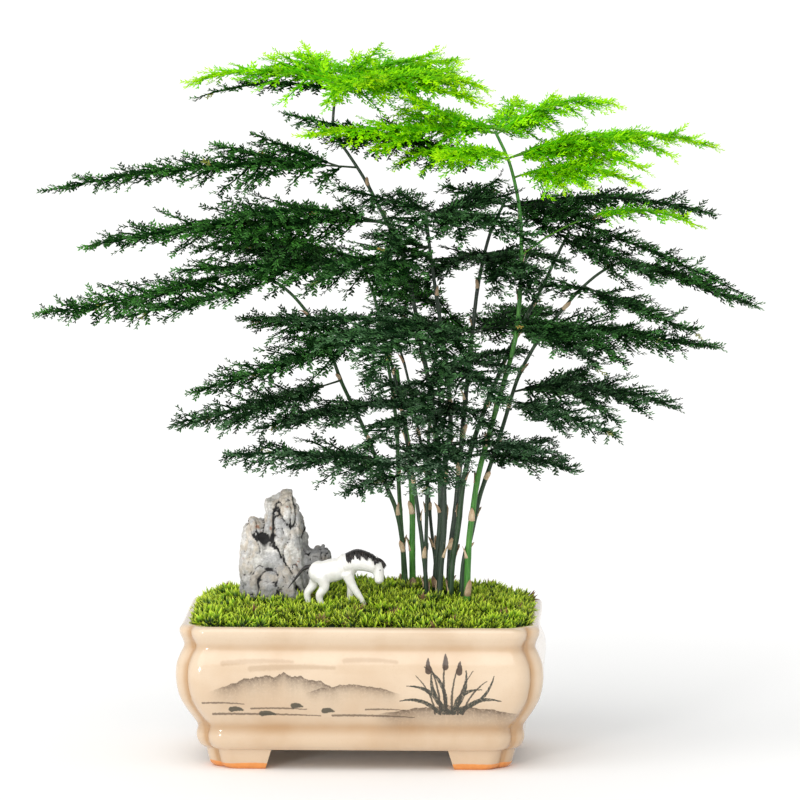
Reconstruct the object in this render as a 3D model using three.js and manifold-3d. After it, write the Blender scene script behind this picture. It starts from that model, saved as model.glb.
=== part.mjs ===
// A potted lace fern (the feathery asparagus fern) trained as a small landscape: a glazed rectangular
// bonsai pot on four feet, filled with soil and moss, with a scholar's stone, a small painted horse,
// twelve green canes and the flat fronds that the canes carry, dark below and young lime green above.
// Millimetres, +Z up, +X to the right and +Y away from the viewer. Heights are above the table.

import * as THREE from "three";
import { mergeVertices } from "three/addons/utils/BufferGeometryUtils.js";
import Module from "manifold-3d";

const wasm = await Module();
wasm.setup();

// Driving dimensions
const GAP = 0.35; // between neighbours that touch
const POT_HALF_LENGTH = 106; // at the belly
const POT_HALF_DEPTH = 73;
const POT_HEIGHT = 85;
const LOBE_RADIUS = 9; // of the two rounded lobes at each corner
const NOTCH_DEPTH = 7; // from the virtual corner in to the groove between them
const LOBE_STEPS = 3;
const FOOT_HEIGHT = 12;
const FOOT_WALL = 13;
const FOOT_GAP_FRONT = 55; // half the gap between the two front feet, at the table
const FOOT_GAP_SIDE = 30;
const FOOT_GAP_TAPER = 4; // how much less each is at the feet's top
const DRAIN_RADIUS = 6;
const DRAIN_OFFSET = 45;
const FLOOR = 20; // the top of the pot's floor
const SOIL_TOP = 78;
const MOUTH_INSET = 10.2; // how far inside the belly's outline the wall stands at the soil's top
const MOSS_EDGE = 84.5; // where the moss meets the rim
const MOSS_RISE = 11; // the moss cushion's crown above its edge
const MOSS_LEAN = 0.008; // how much fuller the crown grows toward the back, per millimetre
const CLUMP = { x: 43, y: 4, halfLength: 25, halfDepth: 22, rise: 13 }; // bare soil round the canes
const CANE_FOOT = 62; // the canes end here, down in the soil
const BLADE = 1.0; // a frond blade's thickness
const LEAFLET_SPACING = 17; // along a frond's main plume
const FORK_SPACING = 26; // along its side plumes
const LEAST_PAIRS = 2; // of leaflets, on the shortest plume
const LEAFLET_SHARES = [1, 0.8, 0.6, 0.4]; // of its full length, tried in turn where something is in its way
const DROOP = 0.08; // how far a leaflet's tip hangs, per millimetre of its length
const DROOP_GROWTH = 0.002; // and per square millimetre

// The pot's outside: how far each level lies inside the belly's outline
const FOOT_PROFILE = [
  [0, 20.5],
  [2, 18.6],
  [7, 17.2],
  [FOOT_HEIGHT + 1, 16],
];
const POT_PROFILE = [
  [FOOT_HEIGHT, 14.6],
  [14, 12.6],
  [17, 11.2],
  [20.5, 10.8],
  [24.8, 11.6],
  [29, 9.5],
  [35, 5.8],
  [42, 2.3],
  [49.5, 0.5],
  [56, 0],
  [62.5, 0.6],
  [68, 2.6],
  [72.5, 4.6],
  [76, 3.8],
  [79.5, 2.4],
  [82.5, 2.2],
  [84.5, 3.8],
  [POT_HEIGHT, 6],
  [POT_HEIGHT - 0.6, 8.2],
  [82, 9.6],
  [74, 10.4],
  [56, 7],
  [44, 8.5],
  [30, 15.5],
  [FLOOR, 20],
];
const INNER_LEVELS = 6; // how many of those, from the last up, line the inside below the rim

// A closed solid from a three.js geometry, and back again
function solidOf(geometry) {
  const bare = geometry.index ? geometry.toNonIndexed() : geometry.clone();
  for (const name of Object.keys(bare.attributes)) if (name !== "position") bare.deleteAttribute(name);
  const merged = mergeVertices(bare, 1e-4);
  return new wasm.Manifold(
    new wasm.Mesh({
      numProp: 3,
      vertProperties: new Float32Array(merged.attributes.position.array),
      triVerts: new Uint32Array(merged.index.array),
    }),
  );
}

function geometryOf(solid) {
  const mesh = solid.getMesh();
  const geometry = new THREE.BufferGeometry();
  geometry.setAttribute("position", new THREE.BufferAttribute(mesh.vertProperties, 3));
  geometry.setIndex(new THREE.BufferAttribute(mesh.triVerts, 1));
  geometry.computeVertexNormals();
  return geometry;
}

function join(solids) {
  return solids.reduce((whole, solid) => whole.add(solid));
}

function largest(solid) {
  return solid.decompose().reduce((best, part) => (part.volume() > best.volume() ? part : best));
}

// Even, repeatable scatter from 0 to 1
function scatter(a, b = 0) {
  const v = Math.sin(a * 127.1 + b * 311.7 + 17.3) * 43758.5453;
  return v - Math.floor(v);
}

// Rings of points, all alike, skinned into one closed body with a flat cap at either end
function skin(rings) {
  const count = rings[0].length;
  const positions = rings.flat().flatMap((p) => [p.x, p.y, p.z]);
  const faces = [];
  for (let r = 0; r + 1 < rings.length; r++) {
    for (let i = 0; i < count; i++) {
      const a = r * count + i;
      const b = r * count + ((i + 1) % count);
      faces.push(a, b, b + count, a, b + count, a + count);
    }
  }
  const flat = (ring) => {
    const normal = new THREE.Vector3();
    ring.forEach((p, i) => normal.add(new THREE.Vector3().crossVectors(p, ring[(i + 1) % count])));
    const u = new THREE.Vector3(1, 0, 0).cross(normal);
    if (u.lengthSq() < 1e-3 * normal.lengthSq()) u.set(0, 1, 0).cross(normal);
    u.normalize();
    const v = new THREE.Vector3().crossVectors(normal, u).normalize();
    return THREE.ShapeUtils.triangulateShape(
      ring.map((p) => new THREE.Vector2(p.dot(u), p.dot(v))),
      [],
    );
  };
  const last = (rings.length - 1) * count;
  flat(rings[0]).forEach(([a, b, c]) => faces.push(c, b, a));
  flat(rings.at(-1)).forEach(([a, b, c]) => faces.push(last + a, last + b, last + c));
  const geometry = new THREE.BufferGeometry();
  geometry.setAttribute("position", new THREE.Float32BufferAttribute(positions, 3));
  geometry.setIndex(faces);
  return geometry;
}

// The pot's outline at one level, anticlockwise: at each corner two rounded lobes and the groove between
function potOutline(z, inset) {
  const halfLength = POT_HALF_LENGTH - inset;
  const halfDepth = POT_HALF_DEPTH - inset;
  const toGroove = Math.asin((LOBE_RADIUS - NOTCH_DEPTH) / LOBE_RADIUS);
  const alongFace = NOTCH_DEPTH + LOBE_RADIUS * Math.cos(toGroove);
  const corner = [];
  for (let i = 0; i <= LOBE_STEPS; i++) {
    const angle = -Math.PI / 2 + (i / LOBE_STEPS) * (Math.PI / 2 - toGroove);
    corner.push([-alongFace + LOBE_RADIUS * Math.cos(angle), LOBE_RADIUS + LOBE_RADIUS * Math.sin(angle)]);
  }
  // the second lobe mirrors the first about the corner's diagonal
  const mirrored = corner.slice(0, -1).map(([along, across]) => [-across, -along]).reverse();
  const front = corner.concat(mirrored);
  const back = front.map(([dx, dy]) => [dx, -dy]).reverse();
  return [
    ...front.map(([dx, dy]) => [halfLength + dx, -halfDepth + dy]),
    ...back.map(([dx, dy]) => [halfLength + dx, halfDepth + dy]),
    ...front.map(([dx, dy]) => [-halfLength - dx, halfDepth - dy]),
    ...back.map(([dx, dy]) => [-halfLength - dx, -halfDepth - dy]),
  ].map(([x, y]) => new THREE.Vector3(x, y, z));
}

function box(lengthX, lengthY, lengthZ, x, y, z) {
  return solidOf(new THREE.BoxGeometry(lengthX, lengthY, lengthZ).translate(x, y, z));
}

function post(radius, z0, z1, x, y, sides) {
  const geometry = new THREE.CylinderGeometry(radius, radius, z1 - z0, sides);
  return solidOf(geometry.rotateX(Math.PI / 2).translate(x, y, (z0 + z1) / 2));
}

// A gap between two feet, wider at the table, as a bar of trapezoid section right through the foot ring
function footGap(halfAtTable, turned) {
  const halfAtTop = halfAtTable - FOOT_GAP_TAPER;
  const shape = new THREE.Shape([
    new THREE.Vector2(-halfAtTable, -1),
    new THREE.Vector2(halfAtTable, -1),
    new THREE.Vector2(halfAtTop, FOOT_HEIGHT),
    new THREE.Vector2(-halfAtTop, FOOT_HEIGHT),
  ]);
  const bar = new THREE.ExtrudeGeometry(shape, { depth: 2 * POT_HALF_LENGTH, bevelEnabled: false });
  bar.translate(0, 0, -POT_HALF_LENGTH).rotateX(Math.PI / 2);
  return solidOf(turned ? bar.rotateZ(Math.PI / 2) : bar);
}

function makePot() {
  const body = solidOf(skin(POT_PROFILE.map(([z, inset]) => potOutline(z, inset))));
  const footRing = solidOf(skin(FOOT_PROFILE.map(([z, inset]) => potOutline(z, inset))));
  const inner = FOOT_PROFILE[0][1] + FOOT_WALL;
  const hollow = box(2 * (POT_HALF_LENGTH - inner), 2 * (POT_HALF_DEPTH - inner), 2 * FOOT_HEIGHT, 0, 0, 0);
  const feet = footRing
    .subtract(hollow)
    .subtract(footGap(FOOT_GAP_FRONT, false))
    .subtract(footGap(FOOT_GAP_SIDE, true));
  const drains = [-DRAIN_OFFSET, DRAIN_OFFSET].map((x) => post(DRAIN_RADIUS, 0, 40, x, 0, 12));
  return drains.reduce((pot, drain) => pot.subtract(drain), body.add(feet));
}

// The canes: the points that each passes, from its foot in the soil, and its radius at foot and tip
const CANES = [
  { name: "cane_01", radii: [1.6, 0.8], path: [[26, 14, 62], [23, 14, 117], [19, 13, 142],
    [13.5, 12, 156], [0, 10, 191], [-13, 6, 219], [-19, 2, 236], [-29.5, -2, 256], [-42, -6, 272],
    [-53, -8, 280], [-71, -12, 286]] },
  { name: "cane_02", radii: [1.6, 0.8], path: [[23.5, 24, 62], [22.5, 24, 112], [20, 25, 152],
    [18, 28, 195], [13, 32, 228], [6.5, 36, 261], [-3, 40, 288]] },
  { name: "cane_03", radii: [2.2, 1.3], path: [[29, 18, 62], [28, 18, 116], [28, 18, 144],
    [26, 17, 178], [21.5, 15, 205], [19, 15, 225]] },
  { name: "cane_04", radii: [1.5, 0.8], path: [[37.5, -2, 62], [36.5, -2, 105], [34.5, -2, 125],
    [30.5, -2, 155], [26.5, -4, 180], [21.5, -6, 210], [11, -8, 254]] },
  { name: "cane_05", radii: [1.3, 0.8], path: [[35, 16, 62], [36, 16, 116], [36.5, 18, 144],
    [37, 24, 177], [40, 31, 220], [44, 38, 261]] },
  { name: "cane_06", radii: [1.2, 0.7], path: [[42, 23, 62], [41.5, 23, 108], [39, 23, 131],
    [36, 26, 162], [29.5, 31, 196], [22, 36, 229], [11.5, 44, 256]] },
  { name: "cane_07", radii: [2.1, 0.9], path: [[43.5, -10, 62], [45.5, -10, 112], [47.5, -10, 137],
    [47.5, -9, 169], [51, -8, 192], [50, -8, 217], [47, -8, 244], [43, -8, 270], [39, -6, 298],
    [36.5, -4, 320]] },
  { name: "cane_08", radii: [1.9, 0.8], path: [[41.5, 9, 62], [42, 9, 106], [44.5, 9, 135],
    [44.5, 10, 161], [39.5, 12, 208], [33, 16, 242], [28, 19, 268], [21.5, 20, 294], [12, 22, 313],
    [0, 24, 336], [-10.5, 26, 352], [-18, 27, 363], [-18, 28, 381], [-17, 28, 394]] },
  { name: "cane_09", radii: [2.1, 0.9], path: [[49.5, 12, 62], [50.5, 12, 117], [53.5, 12, 142],
    [55.5, 15, 165], [58.5, 20, 202], [61.5, 26, 232], [63.5, 30, 252], [66.5, 33, 276],
    [73.5, 36, 305], [81.5, 38, 322]] },
  { name: "cane_10", radii: [2.0, 0.9], path: [[50.5, -7, 62], [52, -7, 112], [55.5, -7, 135],
    [59.5, -5, 167], [67.5, -1, 195], [79.5, 7, 225], [87, 11, 242], [96.5, 15, 260],
    [104, 18, 274], [112, 21, 291], [119.5, 23, 306]] },
  { name: "cane_11", radii: [2.1, 0.9], path: [[60.5, -14, 62], [62, -13, 127], [64, -12, 144],
    [67.5, -11, 167], [79, -8, 210], [88.5, -4, 245], [91, 0, 268], [92, 2, 297], [91, 3, 319],
    [88, 4, 336], [84, 4, 350], [76.5, 4, 366]] },
  { name: "cane_12", radii: [1.7, 0.8], path: [[56.5, -5, 62], [59, -5, 116], [62.5, -4, 128], [68, -3, 153],
    [74, -2, 171], [82, 0, 196], [90, 2, 222], [97, 4, 236], [104.5, 6, 248], [114.5, 8, 260], [126, 11, 273],
    [138, 14, 283], [153.5, 17, 291]] },
];
const CANE_SIDES = 5;
const CANE_STEP = 33; // of length, between the rings of a cane
const SCALE_SPACING = 60; // between the papery scales at a cane's joints
const SCALE_START = 95;

const curves = CANES.map((cane) => new THREE.CatmullRomCurve3(cane.path.map((p) => new THREE.Vector3(...p))));

// A tapered round rod along a curve, thickened and lengthened by grow
function rod(curve, r0, r1, sides, steps, grow = 0) {
  const frames = curve.computeFrenetFrames(steps, false);
  const rings = [];
  for (let i = 0; i <= steps; i++) {
    const centre = curve.getPointAt(i / steps);
    if (i === 0) centre.addScaledVector(frames.tangents[i], -grow);
    if (i === steps) centre.addScaledVector(frames.tangents[i], grow);
    const radius = r0 + ((r1 - r0) * i) / steps + grow;
    const ring = [];
    for (let k = 0; k < sides; k++) {
      const angle = (2 * Math.PI * k) / sides;
      ring.push(
        centre
          .clone()
          .addScaledVector(frames.normals[i], radius * Math.cos(angle))
          .addScaledVector(frames.binormals[i], radius * Math.sin(angle)),
      );
    }
    rings.push(ring);
  }
  const solid = solidOf(skin(rings));
  return solid.volume() > 0 ? solid : solidOf(skin(rings.map((ring) => ring.slice().reverse())));
}

function caneRod(index, grow) {
  const { radii } = CANES[index];
  const steps = Math.ceil(curves[index].getLength() / CANE_STEP);
  return rod(curves[index], radii[0], radii[1], CANE_SIDES, steps, grow);
}

// A papery scale: a three-sided spike that hugs the cane at a joint and points up and out
function scaleAt(index, distance, side, grow) {
  const curve = curves[index];
  const share = distance / curve.getLength();
  const { radii } = CANES[index];
  const radius = radii[0] + (radii[1] - radii[0]) * share;
  const centre = curve.getPointAt(share);
  const along = curve.getTangentAt(share);
  const out = new THREE.Vector3(Math.cos(side), Math.sin(side), 0);
  out.addScaledVector(along, -out.dot(along)).normalize();
  const height = 2.4 * radius + 2;
  const spike = new THREE.ConeGeometry(radius * 1.15 + 2 * grow, height + 4 * grow, 3);
  spike.translate(0, height / 2 + grow, 0);
  const up = along.clone().addScaledVector(out, 0.3).normalize();
  const across = new THREE.Vector3().crossVectors(out, up).normalize();
  const forward = new THREE.Vector3().crossVectors(up, across);
  const place = new THREE.Matrix4().makeBasis(forward, up, across);
  place.setPosition(centre.clone().addScaledVector(out, radius * 0.45));
  return solidOf(spike.applyMatrix4(place));
}

function makeCane(index, grow = 0) {
  let cane = caneRod(index, grow);
  const length = curves[index].getLength();
  let side = index * 2.4;
  for (let at = SCALE_START - CANE_FOOT + 5 * scatter(index); at < 0.8 * length; at += SCALE_SPACING) {
    cane = cane.add(scaleAt(index, at, side, grow));
    side += 2.5;
  }
  return cane;
}

// The fronds: which cane each leaves and at what height, its azimuth (0 to the right, 90 away), its
// reach, how much lower or higher it ends (drop), the height of its arch, its greatest half width, how
// far it tips in degrees (its right-hand side up) and the share of its stalk that carries no leaflets
const FRONDS = [
  ["dark_frond_01", 8, 388, 177, 84, -6, 5, 9, 6, 0.06],
  ["dark_frond_02", 8, 343, 186, 185, -13.5, 4, 27, 20, 0.1],
  ["dark_frond_03", 8, 311, 189, 179, -12.5, 3.5, 44, 20, 0.08],
  ["dark_frond_04", 8, 288, 197, 138, -1.5, 1, 38, 20, 0.04],
  ["dark_frond_05", 1, 285.5, 184, 121, -24.5, -8.5, 27, 18, 0.12],
  ["dark_frond_06", 1, 279.5, 200, 94, -19, -5, 26, 18, 0.1],
  ["dark_frond_07", 4, 250, 188, 113, -35, -9, 32, 22, 0.08],
  ["dark_frond_08", 1, 220, 186, 101, -25, -8, 28, 22, 0.1],
  ["dark_frond_09", 3, 208, 199, 90, -16, -1, 26, 12, 0.1],
  ["dark_frond_10", 4, 171, 184, 111, 6, 6, 34, 18, 0.12],
  ["dark_frond_11", 4, 165, 210, 48, -9, 1, 16, 10, 0.15],
  ["dark_frond_12", 9, 319, -4, 128, -4, 7, 28, -18, 0.04],
  ["dark_frond_13", 12, 290.5, 2, 79, -29, -7, 20, -16, 0.06],
  ["dark_frond_14", 12, 275, -22, 75, -26, -6.5, 18, -14, 0.1],
  ["dark_frond_15", 10, 305, -28, 64, -28, -6, 20, -12, 0.08],
  ["dark_frond_16", 11, 257, -9, 122, -14.5, -4, 27, -18, 0.1],
  ["dark_frond_17", 10, 250, -56, 85, -18, 2, 26, -6, 0.2],
  ["dark_frond_18", 12, 214, -4, 100, -11, 6, 30, -16, 0.08],
  ["dark_frond_19", 11, 211, -37, 88, -16, -2, 24, -8, 0.15],
  ["dark_frond_20", 10, 177, -10, 64, -8.5, 1.9, 26, -8, 0.15],
  ["dark_frond_21", 7, 256, -112, 108, -26, 2, 42, 0, 0.1],
  ["dark_frond_22", 7, 232, -62, 74, -20, 0, 30, 0, 0.1],
  ["dark_frond_23", 7, 210, -128, 82, -24, 0, 32, 4, 0.1],
  ["dark_frond_24", 7, 186, -98, 82, -22, 0, 38, 0, 0.1],
  ["dark_frond_25", 9, 244, 62, 89, 8, 8, 34, 0, 0.1],
  ["dark_frond_26", 5, 258, 118, 82, 10, 8, 32, 0, 0.08],
  ["dark_frond_27", 2, 285.5, 152, 89, 10, 8, 34, 0, 0.06],
  ["dark_frond_28", 7, 318, -40, 86, -14, 4, 32, -4, 0.06],
  ["dark_frond_29", 11, 350, 188, 132, 28, 6, 27, 16, 0.1],
  ["dark_frond_30", 7, 299, -150, 76, -18, 0, 28, 6, 0.1],
  ["dark_frond_31", 9, 292, -82, 74, -20, 2, 25, 0, 0.1],
  ["young_frond_01", 8, 392, 182, 89, -1, 8, 25, 8, 0.04],
  ["young_frond_02", 8, 388, -70, 82, 11, 8, 30, 0, 0.05],
  ["young_frond_03", 8, 390, 30, 86, 13, 7, 28, -4, 0.06],
  ["young_frond_04", 11, 364, 8, 75, 15, 15, 22, -10, 0.06],
  ["young_frond_05", 11, 350, -6, 126, 6, 14, 28, -8, 0.1],
  ["young_frond_06", 11, 339, -36, 93, 0, 8, 24, -4, 0.1],
  ["young_frond_07", 11, 365, 196, 119, 0, 4, 26, 8, 0.1],
  ["young_frond_08", 11, 352, -118, 80, 4, 5, 28, 0, 0.1],
  ["young_frond_09", 11, 294, 4, 108, 14, 22, 10, -6, 0.4],
  ["young_frond_10", 11, 365, 78, 64, 16, 5, 26, -6, 0.06],
  ["young_frond_11", 8, 393.5, -40, 38, 25, 3, 20, 0, 0.05],
  ["young_frond_12", 8, 393.5, 128, 34, 21, 3, 18, 0, 0.05],
].map(([name, cane, height, azimuth, reach, drop, arch, wide, roll, bare]) => ({
  name, cane, height, azimuth, reach, drop, arch, wide, roll, bare,
}));

// The side plumes of each frond: how far along its rib each leaves, then azimuth, reach, drop, arch,
// greatest half width and tip as above
const FORKS = {
  dark_frond_02: [
    [0.06, 166, 54, 19, 4, 20, 14], [0.2, 174, 50, 11, 4, 18, 16], [0.05, 225, 20, -13, -2, 8, 12],
  ],
  dark_frond_03: [
    [0.02, 194, 118, -6, 9, 20, 18], [0.2, 205, 84, -16, 0, 18, 16], [0.05, 155, 24, 14, 2, 12, 12],
  ],
  dark_frond_04: [
    [0.1, -100, 32, -20, 0, 14, 0], [0.05, -75, 42, -21, 0, 16, 0], [0.35, 205, 53, -15, 0, 15, 14],
    [0.25, 178, 76, 9, 3, 18, 14],
  ],
  dark_frond_07: [[0.15, 205, 58, -18, 0, 14, 14], [0.05, 170, 80, 8, 2, 24, 14]],
  dark_frond_08: [[0.25, 205, 51, -23, -2, 10, 14], [0.1, 220, 36, -18.5, -2, 12, 10]],
  dark_frond_09: [[0.3, 210, 48, -14.5, 0, 8, 10], [0.12, 230, 54, -13.5, 0, 10, 8]],
  dark_frond_10: [[0.2, 202, 53, -6.5, 3, 12, 12], [0.06, 218, 41, -7, 2, 12, 10]],
  dark_frond_12: [
    [0.05, -18, 146, -50, -8, 13, -14], [0.02, -38, 70, -5.5, 2, 16, -8], [0.02, -26, 86, -46, -8, 14, -12],
    [0.02, 160, 40, 12, 3, 20, 16],
  ],
  dark_frond_13: [[0.05, -14, 64, -23, -3, 8, -12]],
  dark_frond_14: [
    [0.1, -70, 35, -12.5, 0, 14, 0], [0.2, -42, 42, -12.5, -1, 8, -8], [0.1, 190, 34, 4, 2, 18, 10],
  ],
  dark_frond_15: [[0.05, -55, 39, -12.5, 0, 12, -6]],
  dark_frond_16: [
    [0.3, -35, 64, -6, 2, 12, -10], [0.1, -50, 82, -20, 0, 16, -6], [0.02, -70, 60, -14, 2, 20, 0],
  ],
  dark_frond_17: [[0.1, -20, 42, -18, 0, 12, -10]],
  dark_frond_18: [
    [0.1, 20, 38, 13, 3, 17, -12], [0.35, -30, 54, -16, 0, 10, -10], [0.2, -40, 58, -19, 0, 10, -8],
    [0.02, 12, 44, 10, 3, 20, -10],
  ],
  dark_frond_19: [[0.1, -50, 55, -17, 0, 12, -6]],
  dark_frond_20: [
    [0.15, -30, 62, -6, 1, 10, -8], [0.05, 175, 32, 4, 2, 18, 8], [0.05, 20, 50, 8, 3, 20, -8],
  ],
  dark_frond_21: [
    [0.05, -165, 52, -25, 0, 20, 12], [0.08, 165, 37, 11, 3, 18, 12], [0.1, -60, 46, -24, 0, 20, -4],
    [0.04, 174, 114, 1, 1, 22, 18], [0.02, -85, 72, -32, -3, 28, 0], [0.3, 178, 60, -12, 0, 20, 10],
  ],
  dark_frond_22: [
    [0.1, -20, 43, -3, 3, 18, -10], [0.05, 25, 51, 4, 4, 18, -10], [0.02, -104, 62, -28, -3, 26, 0],
  ],
  dark_frond_23: [
    [0.1, 185, 41, -5.5, 3, 18, 12], [0.1, -40, 48, -19, 0, 16, -8], [0.02, -92, 56, -24, -2, 26, 0],
    [0.05, 170, 50, 14, 3, 22, 12],
  ],
  dark_frond_24: [
    [0.1, -20, 75, -6, 3, 16, -10], [0.1, -140, 36, -20, 0, 16, 8], [0.2, -155, 50, -20, 0, 18, 8],
  ],
  dark_frond_25: [
    [0.1, 15, 51, 10, 4, 18, -10], [0.05, 170, 30, 6, 2, 22, 6], [0.05, -30, 44, 4, 3, 20, -8],
    [0.02, 140, 30, 22, 2, 22, 8],
  ],
  dark_frond_26: [[0.1, 165, 38, 7.5, 3, 16, 10]],
  dark_frond_27: [[0.3, 175, 66, -2, 2, 20, 8]],
  dark_frond_28: [
    [0.05, 175, 60, 16, 5, 18, 12], [0.1, 15, 51, 12.5, 3, 16, -12], [0.2, -75, 39, -17, 0, 14, 0],
    [0.02, 12, 46, 24, 3, 18, -10], [0.05, -125, 46, -24, 0, 24, 6], [0.3, -120, 30, -14, 0, 18, 0],
    [0.02, 120, 40, 12, 3, 22, 10],
  ],
  dark_frond_29: [[0.3, 160, 39, 16.5, 3, 12, 8], [0.4, 195, 56, -0.5, 3, 14, 10]],
  dark_frond_30: [
    [0.05, 170, 34, 9, 3, 14, 10], [0.02, -112, 62, -26, -2, 24, 4], [0.02, 150, 30, 16, 2, 20, 14],
  ],
  dark_frond_31: [
    [0.1, -20, 54, -7, 3, 22, -10], [0.1, -150, 36, -11.5, 1, 16, 8], [0.3, -50, 50, -12, 2, 20, -6],
    [0.02, -58, 62, -26, -2, 24, -4], [0.05, -140, 52, -20, 0, 20, 6],
  ],
  young_frond_01: [[0.15, 160, 30, 11, 3, 14, 8], [0.03, 130, 34, 17, 4, 20, 8]],
  young_frond_02: [
    [0.2, -100, 20, -15, 0, 12, 0], [0.3, -35, 28, -11, 0, 12, -4], [0.1, -22, 96, -10, 4, 22, -16],
    [0.3, -8, 74, -1, 3, 18, -14], [0.05, 75, 40, 20, 4, 24, -4], [0.05, 105, 38, 20, 4, 24, 4],
  ],
  young_frond_03: [
    [0.25, -15, 61, -1, 5, 16, -10], [0.12, -28, 95, -4.5, 8, 20, -8], [0.04, 62, 38, 17, 4, 22, -8],
  ],
  young_frond_04: [
    [0.15, 30, 29, 19, 2, 12, -6], [0.05, 200, 60, 22, 3, 18, 14], [0.02, 40, 48, 20, 3, 18, -6],
  ],
  young_frond_05: [
    [0.4, -22, 53, -12.5, 0, 10, -8], [0.22, -28, 64, -17, 0, 12, -8], [0.1, 14, 70, 6, 4, 20, -12],
    [0.02, -14, 60, 0, 4, 18, -10], [0.02, 25, 50, 4, 4, 22, -12],
  ],
  young_frond_06: [
    [0.15, -60, 42, -10, 0, 9, 0], [0.3, -55, 44, -11.5, 0, 9, 0], [0.05, 8, 62, 12, 3, 20, -12],
  ],
  young_frond_07: [
    [0.3, 215, 44, -15, 0, 14, 8], [0.1, 160, 51, 13, 3, 25, 8], [0.02, 150, 62, 24, 3, 24, 22],
  ],
  young_frond_08: [[0.1, 190, 64, -7, 4, 22, 10]],
  young_frond_11: [[0.3, 8, 56, 13, 3, 12, -6]],
  young_frond_12: [[0.3, 172, 31, 12.5, 2, 10, 6]],
};
const FORK_BARE = 0.12; // the share of a side plume's stalk that carries no leaflets
const FORK_ROOT = 0.4; // how thick it starts inside the frond's rib, as a share of its stalk

// The point of a cane's middle line at a height
function caneAt(index, height) {
  let low = 0;
  let high = 1;
  for (let i = 0; i < 30; i++) {
    const middle = (low + high) / 2;
    if (curves[index].getPoint(middle).z < height) low = middle;
    else high = middle;
  }
  return curves[index].getPoint(low);
}

// How a frond fills out past its bare stalk: quickly to its full width, then tapering to a long tip
function fullness(t) {
  return Math.min(1, 0.4 + t / 0.2) * (1 - Math.pow(t, 1.7));
}

// A plume's middle line: out from its root along its azimuth, arched, and ending higher or lower
function ribOf({ root, azimuth, reach, drop, arch }) {
  const heading = THREE.MathUtils.degToRad(azimuth);
  const ahead = new THREE.Vector3(Math.cos(heading), Math.sin(heading), 0);
  return (s) => {
    const rise = 4 * arch * s * (1 - s) + drop * s * s;
    return root.clone().addScaledVector(ahead, reach * s).add(new THREE.Vector3(0, 0, rise));
  };
}

// The plumes of a frond: the main one from the cane, and the side plumes from its rib
function plumesOf(frond) {
  const root = caneAt(frond.cane - 1, frond.height);
  const main = { ...frond, root, rootWidth: 1, spacing: LEAFLET_SPACING };
  const rib = ribOf(main);
  const sides = (FORKS[frond.name] ?? []).map(([share, azimuth, reach, drop, arch, wide, roll]) => ({
    root: rib(share), azimuth, reach, drop, arch, wide, roll, bare: FORK_BARE, rootWidth: FORK_ROOT,
    spacing: FORK_SPACING,
  }));
  return [main, ...sides];
}

// A flat prism on a triangle, BLADE thick, moved out by extra on every side
function prism([a, b, c], extra) {
  const [ab, bc, ca] = [a.distanceTo(b), b.distanceTo(c), c.distanceTo(a)];
  const round = ab + bc + ca;
  const centre = a.clone().multiplyScalar(bc).addScaledVector(b, ca).addScaledVector(c, ab);
  centre.divideScalar(round);
  const scale = 1 + (extra * round) / (2 * new THREE.Triangle(a, b, c).getArea());
  const corners = [a, b, c].map((p) => p.clone().sub(centre).multiplyScalar(scale).add(centre));
  const half = BLADE / 2 + extra;
  return solidOf(skin([-half, half].map((rise) => corners.map((p) => p.clone().setZ(p.z + rise)))));
}

// A closed thin blade from its middle faces. Body is the share of the full thickness at each point
function bladeOf(points, faces, outline, half, body) {
  const count = points.length;
  const level = (rise) => points.map((p, i) => [p.x, p.y, p.z + rise * body[i]]);
  const under = (a) => (body[a] === 0 ? a : a + count);
  const all = faces.flatMap(([a, b, c]) => [a, b, c, under(c), under(b), under(a)]);
  outline.forEach((a, i) => {
    const b = outline[(i + 1) % outline.length];
    if (body[b] > 0) all.push(under(a), under(b), b);
    if (body[a] > 0) all.push(under(a), b, a);
  });
  const geometry = new THREE.BufferGeometry();
  geometry.setAttribute("position", new THREE.Float32BufferAttribute([...level(half), ...level(-half)].flat(), 3));
  geometry.setIndex(all);
  return solidOf(geometry);
}

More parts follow.
